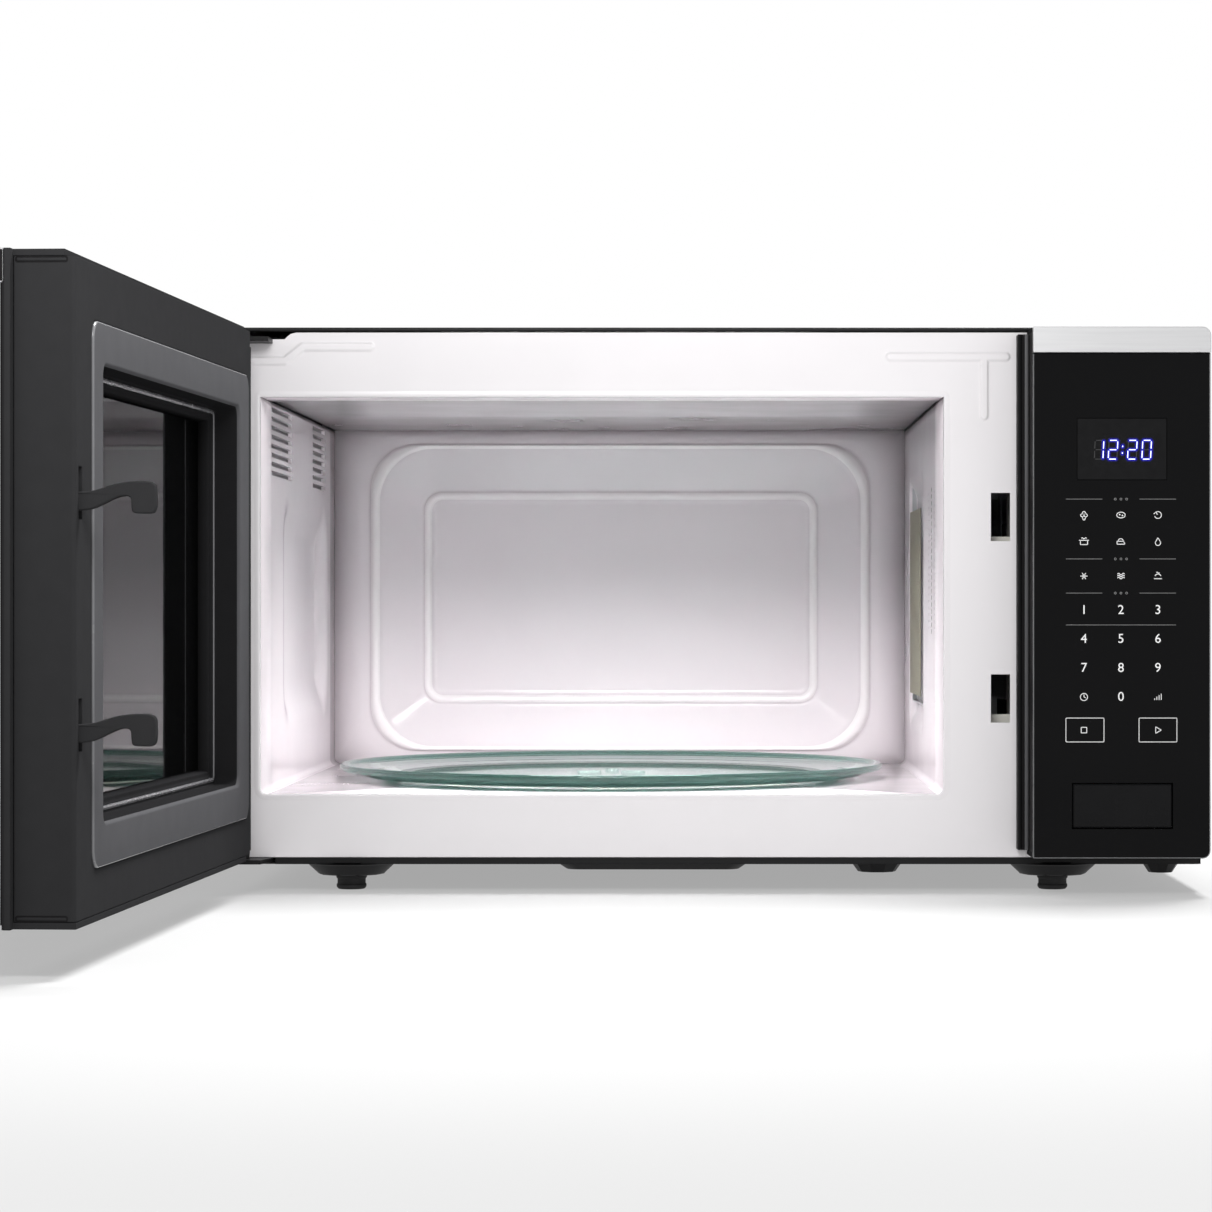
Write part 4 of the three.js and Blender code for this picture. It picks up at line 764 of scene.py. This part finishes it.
# %% Floor with the well for the roller ring
tray_lo, tray_hi = span("glass_tray")
TABLE = (float(tray_lo[0] + tray_hi[0]) / 2, float(tray_lo[1] + tray_hi[1]) / 2)
WELL_RADIUS, WELL_FLOOR = 133.0, 42.3
half_right, half_left = RIGHT - CORNER - TABLE[0], TABLE[0] - LEFT - CORNER
half_back, half_front = BACK - TABLE[1], TABLE[1] - FRONT
corner_turns = [math.atan2(b, a) for a in (half_right, -half_left) for b in (half_back, -half_front)]
turns = np.unique(np.round(np.concatenate([np.linspace(-np.pi, np.pi, 129)[:-1], corner_turns]), 6))
c, s = np.cos(turns), np.sin(turns)
reach_x = np.where(c > 0, half_right, half_left) / np.maximum(np.abs(c), 1e-9)
reach_y = np.where(s > 0, half_back, half_front) / np.maximum(np.abs(s), 1e-9)
edge_reach = np.minimum(reach_x, reach_y)
SHAFT_HOLE = 8.2
well = rounded_line([(SHAFT_HOLE, WELL_FLOOR - 1), (SHAFT_HOLE, WELL_FLOOR), (90, WELL_FLOOR),
                     (110, WELL_FLOOR), (WELL_RADIUS, WELL_FLOOR), (WELL_RADIUS + 1.5, FLOOR),
                     (WELL_RADIUS + 8, FLOOR)],
                    [0.6, 2, 2, 4, 4], 5)
ring_radius = np.concatenate([np.broadcast_to(well[:, :1], (len(well), len(turns))), edge_reach[None]])
ring_height = np.append(well[:, 1], FLOOR)[:, None]
grid = np.stack([TABLE[0] + ring_radius * c, TABLE[1] + ring_radius * s,
                 np.broadcast_to(ring_height, ring_radius.shape)], -1)
cavity_floor = facing(surface(grid, loop_columns=True), (-67, 230, 400))
piece("cavity_skin", [left_wall, right_wall, cavity_floor], ["cavity_enamel", "vent_dark", "hole_black"],
      "cabinet", ["cavity_shell"], closed=False, sharp=50, wall=0.5)

# %% [markdown]
# ## Ceiling
# The ceiling sheet steps up a little behind the mouth. Such a joggle stiffens a wide flat sheet,
# and it makes the soft band of shade that runs across the roof.

# %% Ceiling, joggled behind the mouth
JOGGLE = 0.9
joggle = rounded_line([(FRONT, ROOF), (78, ROOF), (79.5, ROOF + JOGGLE), (250, ROOF + JOGGLE),
                       (BACK, ROOF + JOGGLE)], 1.0, 4)
x_lines = np.linspace(LEFT + 0.5, RIGHT - 0.5, 9)
grid = np.stack(np.broadcast_arrays(x_lines[:, None], joggle[None, :, 0], joggle[None, :, 1]), -1)
piece("ceiling_sheet", [facing(surface(grid), (-67, 230, 0))], "cavity_enamel", "cabinet", ["cavity_ceiling"],
      closed=False, wall=0.8)

# %% [markdown]
# ## Back wall
# The back wall has one large pressing with a raised bead along its outer and inner edges, which
# stops the sheet from ringing as it heats. It is one section, read inwards from the wall's edge,
# carried round outlines that change from the square wall to the rounded panel. The beads carry a
# painted highlight: a whiter, glossier enamel.

# %% Back wall
wall_outline = (LEFT, RIGHT, FLOOR - 0.5, ROOF + 1, 0.5, 0.5)
outer_panel = (-234, 101, 66.4, 274.6, 38, 38)
inner_panel = (-199, 66, 101.4, 239.7, 9, 9)
back_section = rounded_line([
    (0, BACK), (22, BACK), (24.5, BACK), (26.5, BACK - 2.2), (29.5, BACK - 2.2), (32.5, BACK + 1.4),
    (60, BACK + 16.0), (62, BACK + 14.2), (64.5, BACK + 14.2), (67.5, BACK + 18.4), (100, BACK + 18.4)],
    [3, 1.6, 1.6, 1.6, 2, 1.5, 1.6, 1.6, 2.5], 5)
back_rings = moulding([0, 30, 65, 100], [wall_outline, outer_panel, inner_panel, grown(inner_panel, -35)],
                      back_section, corner=14)
# The cells on the beads get the painted highlight.
inset = (back_section[1:, 0] + back_section[:-1, 0]) / 2
is_bead = ((inset > 25.2) & (inset < 31.0)) | ((inset > 61.0) & (inset < 65.8))
painted_highlight_tags = np.repeat(is_bead, back_rings.shape[1])
piece("back_wall_pressing",
      [facing(surface(back_rings, loop_columns=True, cap_last=True, marks=painted_highlight_tags), (-67, 0, 170))],
      ["cavity_enamel", "bead_enamel"], "cabinet", ["cavity_back_wall"], closed=False,
      sharp=40, wall=0.6)

# %% [markdown]
# ## Glass turntable
# The tray is pressed soda-lime glass, clear when looked through and green when looked along.
# Its body absorbs a little red all the way through, and the thick rim has a coat of its own that
# absorbs more. The three low lugs in the middle sit over the drive coupler.

# %% Turntable
TRAY_STEPS = 128
under, rim, tray_radius = 56.3, float(tray_hi[2]), float(tray_hi[0] - tray_lo[0]) / 2
tray_section = rounded_line([
    (0, under), (WELL_RADIUS - 3, under), (WELL_RADIUS + 1, under), (tray_radius - 13, under + 2.0),
    (tray_radius - 5, rim - 5.2), (tray_radius - 0.6, rim - 4.2), (tray_radius, rim - 1.6),
    (tray_radius - 1.2, rim), (tray_radius - 4.2, rim - 0.7), (tray_radius - 6.5, rim - 2.6),
    (tray_radius - 12, rim - 3.4), (WELL_RADIUS + 18, under + 5.0), (WELL_RADIUS - 1, under + 3.6),
    (WELL_RADIUS - 5, under + 3.0), (0, under + 3.0)], [1, 2, 3, 2, 1.5, 1, 1, 1.5, 1.5, 2, 3, 2, 2], 4)
ring_radii = (tray_section[1:, 0] + tray_section[:-1, 0]) / 2
is_rim = np.repeat(ring_radii > WELL_RADIUS + 5, TRAY_STEPS)
tray_shapes = [surface(turned(tray_section, TABLE, TRAY_STEPS), loop_columns=True, marks=is_rim)]


def lobe(turn, near, far, half, low, high):
    """A low rounded lug from near to far along one spoke."""
    outline = rounded_rings([[near, far, -half, half, half * 0.9, half * 0.9]], 5)[0]
    a, b = math.cos(turn), math.sin(turn)
    spoke = np.stack([TABLE[0] + outline[:, 0] * a - outline[:, 1] * b,
                      TABLE[1] + outline[:, 0] * b + outline[:, 1] * a], -1)
    section = rounded_line([(0, low), (0, high - 0.1), (0.9, high)], 0.5, 3)
    rings = carried(spoke, section, closed=True, order=(0, 1, 2))
    return surface(rings, loop_columns=True, cap_first=True, cap_last=True)


spokes = [math.radians(90 + 120 * k) for k in range(3)]
tray_shapes += [lobe(spoke, 8, 24, 4.2, under + 2.9, under + 4.4) for spoke in spokes]
tray_shapes += [lobe(spoke, 11, 19, 3.8, under - 6.8, under + 0.1) for spoke in spokes]
piece("turntable_glass", tray_shapes, ["tray_glass", "tray_rim"], "tray", ["glass_tray"])

# %% [markdown]
# ## The door's inner side
# Behind the glass, the door is a deep moulded tray. A lighter choke cover clips into it, hiding
# the microwave trap, and its window drops through a dark wall and a beaded step to the inner
# glass. One section, read from the cover's outer edge down to the glass, makes all of it.

# %% Choke cover and window recess
cover = (-229, 141, 46, 293.5, 9, 9)
window = (-201, 122, 66, 274.3, 6, 6)
FACE = 34.2
STEEL_SHELF, GLASS_Y = 19.0, 12.7
cover_section = rounded_line([
    (0, 28.5), (0, FACE), (24.6, FACE), (26.2, FACE - 1.3), (26.6, STEEL_SHELF + 1.6),
    (28.0, STEEL_SHELF + 1.6), (29.6, STEEL_SHELF + 2.0), (31.2, STEEL_SHELF - 0.2),
    (33.6, STEEL_SHELF - 0.6), (34.3, GLASS_Y - 0.2)],
    [1.4, 0.9, 0.9, 0.9, 0.8, 1.0, 0.9, 0.8], 5)
cover_rings = moulding([0, 26, 36], [cover, window, grown(window, -10)], cover_section, corner=10)
cover_shape = facing(surface(cover_rings, loop_columns=True), (-40, 600, 170))
inset_of_cell = (cover_section[:-1, 0] + cover_section[1:, 0]) / 2
depth_of_cell = (cover_section[:-1, 1] + cover_section[1:, 1]) / 2
is_dark = (inset_of_cell > 26.0) & (depth_of_cell < FACE - 1.6)
# The cover's rounded outer edge and the bead in the recess get a painted highlight.
is_rim = (inset_of_cell < 1.1) & (depth_of_cell > FACE - 0.9)
is_rim |= (inset_of_cell > 28.2) & (inset_of_cell < 30.4)
cover_shape["marks"] = np.repeat(np.where(is_rim, 2, is_dark), cover_rings.shape[1]).astype(int)
piece("choke_cover", [cover_shape], ["choke_grey", "recess_black", "rim_light"], "door",
      ["door_choke_cover", "door_steel_frame"], door=True, closed=False, sharp=40,
      wall=0.5)

# %% [markdown]
# ## Latch hooks
# Two hooks on one sprung bar catch behind the front plate. They are moulded with a sloping arm
# and a hanging head with a round nose, so that pushing the door shut lifts them over the catch.

# %% Latch hooks
HOOK_X, HOOK_THICK, HOOK_Z, HOOK_DROP = 162.0, 4.6, 213.2, 103.0
DOOR_INNER = 33.0
HOOK = [(-11, -6.4), (0, -6.4), (6, -5.7), (10.5, -3.6), (18, 0.0), (23, 0.1), (23.2, -4.5), (23.6, -7.6),
        (29, -7.8), (34.2, -7.6), (34.6, 0.0), (34.2, 6.6), (24, 6.8), (16, 5.6), (6, 2.4), (0, 2.0),
        (-11, 2.0)]


def bar_of(outline, x0, x1, soft=0.5):
    """A flat bar cut from an outline of (y, z), from x0 to x1, with softened edges."""
    section = rounded_line([(soft, x0), (0, x0 + soft), (0, x1 - soft), (soft, x1)], soft, 3)
    rings = carried(outline, section, closed=True, order=(2, 0, 1))
    return surface(rings, loop_columns=True, cap_first=True, cap_last=True)


hook_roundings = [3] * 5 + [0.8, 2.5, 3, 4.5, 3, 4.5, 5, 3, 3, 3, 0.1]
hook_line = rounded_line([*HOOK, HOOK[0]], hook_roundings, 5)[:-1]
hook_sides = (HOOK_X - HOOK_THICK / 2, HOOK_X + HOOK_THICK / 2)
places = [np.array([DOOR_INNER, HOOK_Z - drop]) for drop in (0, HOOK_DROP)]
hook_shapes = [bar_of(hook_line + place, *hook_sides) for place in places]
slide = rounded_rings([[14, 25.5, HOOK_Z - HOOK_DROP - 24, HOOK_Z + 20, 2, 2]], 4)[0]
hook_shapes.append(bar_of(slide, *hook_sides))
piece("latch_hooks", hook_shapes, "black_plastic", "latch", ["door_hook_bar"], door=True)

# %% [markdown]
# ## Edges of the door and of the panel housing
# The free edge of the door shows how it was put together: an end cap with a small tab at top
# and bottom, each with a flat dark ring round it that is painted shade for the gap, and a black
# plug in the end of the steel band. The panel housing has two long ribs towards the door, which
# stiffen its thin flank: a grey strip on the rib is a painted highlight, the black in the groove
# painted shade.

# %% Tabs and plug on the door's free edge
DOOR_EDGE, FRONT_TOP, FRONT_BOTTOM = 170.5, 322.2, 21.9
tab_section = np.array([(0, 0.04), (0.75, 0.04), (0.85, 0.3), (1.15, 0.36)]) + np.array([0, DOOR_EDGE])
tab_shapes = []
for low in (FRONT_TOP - 6.1, FRONT_BOTTOM + 3.2):
    tab = (5.9, 29.6, low, low + 2.9, 1.2, 1.2)
    rings = moulding([0, 1.2], [tab, grown(tab, -1.2)], tab_section, order=(2, 0, 1), corner=4)
    # The outer band of each tab is a flat dark ring: painted shade for the gap.
    tags = np.repeat(np.arange(len(tab_section) - 1) < 1, rings.shape[1]).astype(int)
    shape = surface(rings, loop_columns=True, cap_last=True, marks=tags)
    tab_shapes.append(facing(shape, (2000, 17, 160)))
piece("door_edge_tabs", tab_shapes, ["black_plastic", "hole_black"], "door",
      door=True, closed=False)

band_lo, band_hi = span("control_panel_band")
PLUG_X = 175.5
plug = (float(band_lo[1]) + 0.1, 1.6, float(band_lo[2]) - 0.1, float(band_hi[2]) - 0.6, 0.5, 0.5)
plug_section = np.array([(0, 0.0), (0.15, 0.35), (0.5, 0.45)]) + np.array([0, PLUG_X])
plug_rings = moulding([0, 0.5], [plug, grown(plug, -0.5)], plug_section, order=(2, 0, 1), corner=4)
plug_shape = facing(surface(plug_rings, loop_columns=True, cap_last=True), (2000, 0, 315))
# The plug takes the near-black finish as its own black colour.
piece("door_band_plug", [plug_shape], "hole_black", "door", door=True,
      closed=False)

# %% Ribs on the flank of the panel housing
FLANK = 177.6
rib_profile = rounded_line([
    (FLANK, 1.2), (FLANK, 23.4), (FLANK - 0.3, 22.2), (FLANK - 2.4, 22.2), (FLANK - 2.6, 23.7),
    (FLANK - 4.4, 23.7), (FLANK - 4.6, 22.8), (FLANK - 6.0, 22.8), (FLANK - 6.2, 24.0),
    (FLANK - 6.2, 34)], 0.5, 3)
rib_heights = np.array([25.2, 319.8])
rib_grid = np.stack(np.broadcast_arrays(rib_profile[:, :1], rib_profile[:, 1:], rib_heights[None]), -1)
across = (rib_profile[1:, 0] + rib_profile[:-1, 0]) / 2
# The lit strip on the rib is a painted highlight in grey plastic; the near-black in the groove is painted
# shade.
is_lit = (across < FLANK - 0.2) & (across > FLANK - 2.5)
is_side = (across < FLANK - 4.5) & (across > FLANK - 6.1)
rib_shape = surface(rib_grid, marks=np.where(is_lit, 1, np.where(is_side, 2, 0)))
piece("housing_ribs", [facing(rib_shape, (0, -2000, 160))], ["hole_black", "grey_plastic", "recess_black"],
      "cabinet", closed=False)

# %% [markdown]
# ## Feet
# Each foot is a turned rubber button with a waist, set in a cone pressed down from the base. The
# cones are turned shapes too, a hair outside the base plate's own faceted ones.

# %% Feet and their cones
foot_section = rounded_line([(0, 0), (7.6, 0), (8.7, 1.2), (8.7, 2.6), (8.2, 3.2), (8.2, 6.0), (8.9, 6.6),
                             (8.9, 8.5), (0, 8.5)], [0.3, 0.8, 0.3, 0.3, 0.3, 0.3, 0.3], 3)
cone_section = rounded_line([(8.6, 10), (8.6, 8.6), (18.6, 8.6), (26.4, 15.9), (30, 15.9)],
                            [0.3, 1.6, 2.0], 4)
cone_shapes = []
for corner_name in ("front_left", "front_right", "rear_left", "rear_right"):
    foot_lo, foot_hi = span(f"foot_{corner_name}")
    centre = (foot_lo[:2] + foot_hi[:2]) / 2
    piece(f"foot_{corner_name}_rubber", [surface(turned(foot_section, centre, 40), loop_columns=True)],
          "rubber", "cabinet", [f"foot_{corner_name}"])
    cone_shapes.append(facing(surface(turned(cone_section, centre, 48), loop_columns=True), (*centre, -200)))
piece("foot_cones", cone_shapes, "black_paint", "cabinet", closed=False)

# %% [markdown]
# ## Release button
# The push button is a plain black bar that sits in a slot of the panel. The chamfer along its
# edges is what catches the light. A short stem behind it pushes the latch lever.

# %% Release button
button_lo, button_hi = span("door_release_button")
bar = (float(button_lo[0]), float(button_hi[0]), float(button_lo[2]), float(button_hi[2]), 1.0, 1.0)
bar_section = rounded_line([(0, 9), (0, 0.9), (0.9, 0.0), (3, 0.0)], 0.25, 3)
bar_rings = moulding([0, 3], [bar, grown(bar, -3)], bar_section, corner=5)
stem = (220, 236, 49.6, 53.6, 0.5, 0.5)
stem_tip = (221, 235, 50.6, 52.6, 0.5, 0.5)
stem_rings = moulding([0, 1], [stem, stem_tip], [(0, 8.5), (0, 24.5), (0.5, 25)], corner=3)
button_shapes = [surface(rings, loop_columns=True, cap_first=True, cap_last=True)
                 for rings in (bar_rings, stem_rings)]
piece("release_button", button_shapes, "button_black", "button", ["door_release_button"])

# %% [markdown]
# ## Painted highlight on the panel edge
# The panel glass shows a thin light line along its edges. A narrow grey section carried round
# three sides paints that line as a highlight; the steel band covers the fourth side.

# %% Painted highlight along the panel glass edge
GLASS_TOP = 307
READER = (228, -2000, 160)
panel_lo, panel_hi = span("control_panel_face")
near_x, far_x, low_z = float(panel_lo[0]), float(panel_hi[0]), float(panel_lo[2])
edge_path = rounded_line([(near_x, GLASS_TOP), (near_x, low_z), (far_x, low_z), (far_x, GLASS_TOP)],
                         [0.6, 5], 8)
edge_section = [(0.0, 2.2), (-0.04, 0.4), (0.05, 0.1), (0.25, -0.06), (0.5, -0.04), (0.6, 0.03)]
piece("panel_glass_edge", [facing(surface(carried(edge_path, edge_section)), READER)],
      "ground_edge", "cabinet", closed=False)

# %% [markdown]
# ## Printing on the panel
# On a real panel the keys are printed on the back of the glass. Here the print lies a hair in
# front of it, because the glass is nearly black: numbers, and a small drawn sign for each
# programme. Signs are strokes of even width, so a stroke maker turns any line of points into a
# flat ribbon by moving it half a width to both sides along its normal.

# %% Strokes
PRINT_Y = -0.06


def ribbon(points, width, y=PRINT_Y):
    """A flat stroke of even width along (x, z) points."""
    p = np.asarray(points, float)
    tangent = np.gradient(p, axis=0)
    tangent /= np.linalg.norm(tangent, axis=1, keepdims=True)
    side = np.stack([-tangent[:, 1], tangent[:, 0]], -1) * width / 2
    rows = np.stack([p - side, p + side])
    upright = np.stack([rows[..., 0], np.full(rows.shape[:2], y), rows[..., 1]], -1)
    return facing(surface(upright), READER)


def arc(x, z, radius, start, end, squash=1.0, steps=24):
    """Points on an arc, angles in degrees."""
    angle = np.radians(np.linspace(start, end, steps))
    return np.stack([x + radius * np.cos(angle), z + squash * radius * np.sin(angle)], -1)


def wave(x0, x1, z, height, waves=1.5):
    """Points on a sine wave between two x values."""
    x = np.linspace(x0, x1, 24)
    return np.stack([x, z + height * np.sin((x - x0) / (x1 - x0) * waves * 2 * np.pi)], -1)


# Each sign is its strokes, in millimetres about the middle of its key.
SIGNS = {
    "corn": [arc(-1.1, -0.2, 0.95, 0, 360), arc(1.1, -0.2, 0.95, 0, 360), arc(0, 1.2, 0.95, 0, 360),
             [(-0.9, -1.5), (-0.5, -3), (0.5, -3), (0.9, -1.5)]],
    "potato": [arc(0, 0, 2.6, 0, 360, 0.68), arc(-0.8, 0.3, 0.25, 0, 360), arc(0.9, -0.3, 0.25, 0, 360)],
    "reheat": [arc(0, 0, 2.1, 120, -160), [(-2.6, 0.6), (-1.2, 1.9), (-0.4, 0.2)]],
    "pot": [[(-2.2, 1), (-2.2, -1.6), (2.2, -1.6), (2.2, 1)], [(-3.1, 1), (3.1, 1)],
            wave(-1.6, 1.6, 2.2, 0.35)],
    "soften": [[(-2.4, -1.4), (-2.4, 0.4), (1.6, 0.4), (2.4, -1.4), (-2.4, -1.4)],
               arc(-0.2, 0.4, 1.6, 0, 180)],
    "melt": [[(0, 2.6), (-1.5, 0)], [(0, 2.6), (1.5, 0)], arc(0, -0.6, 1.6, 155, 385)],
    "flake": [[(-2.2, 0), (2.2, 0)], [(-1.1, -1.9), (1.1, 1.9)], [(-1.1, 1.9), (1.1, -1.9)],
              arc(0, 0, 0.9, 0, 360)],
    "warm": [wave(-2.2, 2.2, 1.2, 0.5), wave(-2.2, 2.2, 0, 0.5), wave(-2.2, 2.2, -1.2, 0.5)],
    "steam": [arc(0, -0.6, 1.9, 20, 160), [(-2.4, -1.6), (2.4, -1.6)], wave(-1, 1, 2.1, 0.3, 1)],
    "clock": [arc(0, 0, 2.2, 0, 360), [(0, 1.5), (0, 0), (1.1, -0.6)]],
    "power": [[(-2, -1.8), (-2, -0.8)], [(-0.7, -1.8), (-0.7, 0.2)], [(0.7, -1.8), (0.7, 1.1)],
              [(2, -1.8), (2, 2)]],
    "stop": [[(-1.7, -1.7), (1.7, -1.7), (1.7, 1.7), (-1.7, 1.7), (-1.7, -1.7)]],
    "start": [[(-1.4, -2), (2, 0), (-1.4, 2), (-1.4, -2)]],
}
COLUMNS = (206.5, 227.4, 248.3)
BOTTOM_ROW = 113.2
KEYS = [(216, ("corn", "potato", "reheat")), (200.8, ("pot", "soften", "melt")),
        (181.5, ("flake", "warm", "steam")), (BOTTOM_ROW, ("clock", None, "power")),
        (94.5, ("stop", None, "start"))]
STROKE, SIGN_SIZE = 0.42, 0.92


def sharp_points(points):
    """Adds close points beside each corner of a line with few points, so that a ribbon keeps its
    width round it. Arcs and waves have many points and need none."""
    p = np.asarray(points, float)
    return p if len(p) < 3 or len(p) > 8 else rounded_line(p, 0.16, 2)


sign_shapes = [ribbon(sharp_points(np.asarray(line) * SIGN_SIZE) + np.array([x, z]), STROKE)
               for z, names in KEYS for x, sign in zip(COLUMNS, names) if sign for line in SIGNS[sign]]
for x0, x1 in ((196.3, 217.8), (237.6, 259.0)):
    frame_line = rounded_rings([[x0, x1, 87.8, 101.3, 0.5, 0.5]], 4)[0]
    sign_shapes.append(ribbon(np.concatenate([frame_line, frame_line[:2]]), 0.36))
piece("panel_signs", sign_shapes, "print_white", "cabinet", closed=False)

# %% [markdown]
# ## Rules
# Thin grey rules part the key groups. Three of them open in the middle for three small rings,
# where a group's title would stand.

# %% Rules between the groups
RULE_LEFT, RULE_RIGHT, RULE_GAP, RULE_WIDTH = 196.3, 258.5, 21.0, 0.3
middle = (RULE_LEFT + RULE_RIGHT) / 2
rule_shapes = []
for z in (225.0, 191.2, 171.9):
    rule_shapes.append(ribbon([(RULE_LEFT, z), (middle - RULE_GAP / 2, z)], RULE_WIDTH))
    rule_shapes.append(ribbon([(middle + RULE_GAP / 2, z), (RULE_RIGHT, z)], RULE_WIDTH))
    rule_shapes += [ribbon(arc(middle + k * 3.2, z, 0.55, 0, 360, steps=13), 0.35) for k in (-1, 0, 1)]
rule_shapes.append(ribbon([(RULE_LEFT, 153.9), (RULE_RIGHT, 153.9)], RULE_WIDTH))
piece("panel_rules", rule_shapes, "print_grey", "cabinet", closed=False)

# %% [markdown]
# ## Numbers
# Plain figures come from Blender's own letter shapes, turned into a mesh first, so that their
# place is in their points like every other piece's.

# %% Numbers
CAP_HEIGHT = 0.72


def number(text, x, z, height):
    """A printed number: Blender's own letter shapes, made a mesh and then set upright in place."""
    curve = bpy.data.curves.new("number", "FONT")
    curve.body = text
    curve.align_x = curve.align_y = "CENTER"
    curve.resolution_u = 4
    curve.size = height / CAP_HEIGHT
    letters = bpy.data.objects.new("number", curve)
    bpy.context.scene.collection.objects.link(letters)
    bpy.context.view_layer.update()
    scene_state = bpy.context.evaluated_depsgraph_get()
    mesh = bpy.data.meshes.new_from_object(letters.evaluated_get(scene_state))
    flat = np.zeros(len(mesh.vertices) * 3, np.float32)
    mesh.vertices.foreach_get("co", flat)
    flat = flat.reshape(-1, 3)
    faces = [list(f.vertices) for f in mesh.polygons]
    bpy.data.objects.remove(letters)
    bpy.data.meshes.remove(mesh)
    points = np.stack([x + flat[:, 0], np.full(len(flat), PRINT_Y), z + flat[:, 1]], -1)
    return {"points": points, "quads": np.zeros((0, 4), int), "caps": faces, "marks": np.zeros(0, int)}


NUMBERS = [(162.3, "123"), (146.0, "456"), (129.6, "789"), (BOTTOM_ROW, " 0 ")]
NUMBER_HEIGHT = 5.3
number_shapes = [number(text, x, z, NUMBER_HEIGHT)
                 for z, row in NUMBERS for x, text in zip(COLUMNS, row) if text != " "]
piece("panel_numbers", number_shapes, "print_white", "cabinet", closed=False)

# %% [markdown]
# ## Clock display
# Seven-segment figures lean a little to the right. Lit segments are bright bars with a blue glow
# that falls off with the distance to the nearest one; that distance is worked out on a fine
# grid and stored on its points, where the finish reads it. Unlit segments stay faintly visible.

# %% Seven segments
SEGMENT_LINES = {"a": ((0, 2), (1, 2)), "b": ((1, 2), (1, 1)), "c": ((1, 1), (1, 0)), "d": ((0, 0), (1, 0)),
                 "e": ((0, 1), (0, 0)), "f": ((0, 2), (0, 1)), "g": ((0, 1), (1, 1))}
LIT = {"1": "bc", "2": "abged", "0": "abcdef"}
SEGMENT_WIDTH = 0.5
DIGIT_WIDTH, DIGIT_HEIGHT, LEAN = 4.9, 10.6, 0.05
CLOCK_Z = 247.6
CLOCK = [(212.3, "1"), (220.2, "2"), (231.1, "2"), (239.2, "0")]
COLON_X, COLON_HEIGHTS, DOT_HALF = 228.0, (3.4, 7.2), 0.4


def segment_run(x, key, trim=0.12):
    """Both ends of a segment, trimmed short of the corners and leaned over."""
    ends = np.array(SEGMENT_LINES[key], float)
    ends = ends + (ends[::-1] - ends) * trim
    px = x + ends[:, 0] * DIGIT_WIDTH + ends[:, 1] / 2 * DIGIT_HEIGHT * LEAN
    return np.stack([px, CLOCK_Z + ends[:, 1] / 2 * DIGIT_HEIGHT], -1)


def colon_dot(up):
    """One dot of the colon, a short upright run that leans with the figures."""
    x = COLON_X + up * LEAN
    return np.array([(x, CLOCK_Z + up - DOT_HALF), (x, CLOCK_Z + up + DOT_HALF)])


lit_runs = [segment_run(x, key) for x, figure in CLOCK for key in LIT[figure]]
lit_runs += [colon_dot(up) for up in COLON_HEIGHTS]
dark_runs = [segment_run(x, key) for x, figure in CLOCK for key in SEGMENT_LINES if key not in LIT[figure]]
piece("clock_lit", [ribbon(run, SEGMENT_WIDTH, -0.10) for run in lit_runs], "segment_lit", "cabinet",
      closed=False)
piece("clock_unlit", [ribbon(run, SEGMENT_WIDTH, -0.05) for run in dark_runs], "segment_dark", "cabinet",
      closed=False)

# %% [markdown]
# ## The glow
# Light from the figures spreads a little in the tinted window. A thin sheet over them carries a
# number on each point, 0.9 times the square of 1 - distance / reach, and the finish uses it as
# how much of the blue shows.

# %% Glow round the lit segments
GLOW_REACH, GLOW_Y, GLOW_STEP, GLOW_MOST = 1.7, -0.075, 0.4, 0.9
x, z = np.meshgrid(np.arange(208.5, 249.5, GLOW_STEP), np.arange(243.5, 262.5, GLOW_STEP), indexing="ij")
glow_shape = facing(surface(np.stack([x, np.full(x.shape, GLOW_Y), z], -1)), READER)
glow_sheet = piece("clock_glow", [glow_shape], "segment_glow", "cabinet", closed=False)

attribute = glow_sheet.data.attributes.new("glow", "FLOAT", "POINT")
stored = np.zeros(len(glow_sheet.data.vertices) * 3, np.float32)
glow_sheet.data.vertices.foreach_get("co", stored)
local = (stored.reshape(-1, 3) - layout_origin) / MM
near = distance_to_lines(local[:, 0], local[:, 2], lit_runs)
glow_share = np.clip(1 - near / GLOW_REACH, 0, 1) ** 2 * GLOW_MOST
attribute.data.foreach_set("value", glow_share.astype(np.float32))
print("glow runs from", near.min().round(2), "to", near.max().round(2), "mm")
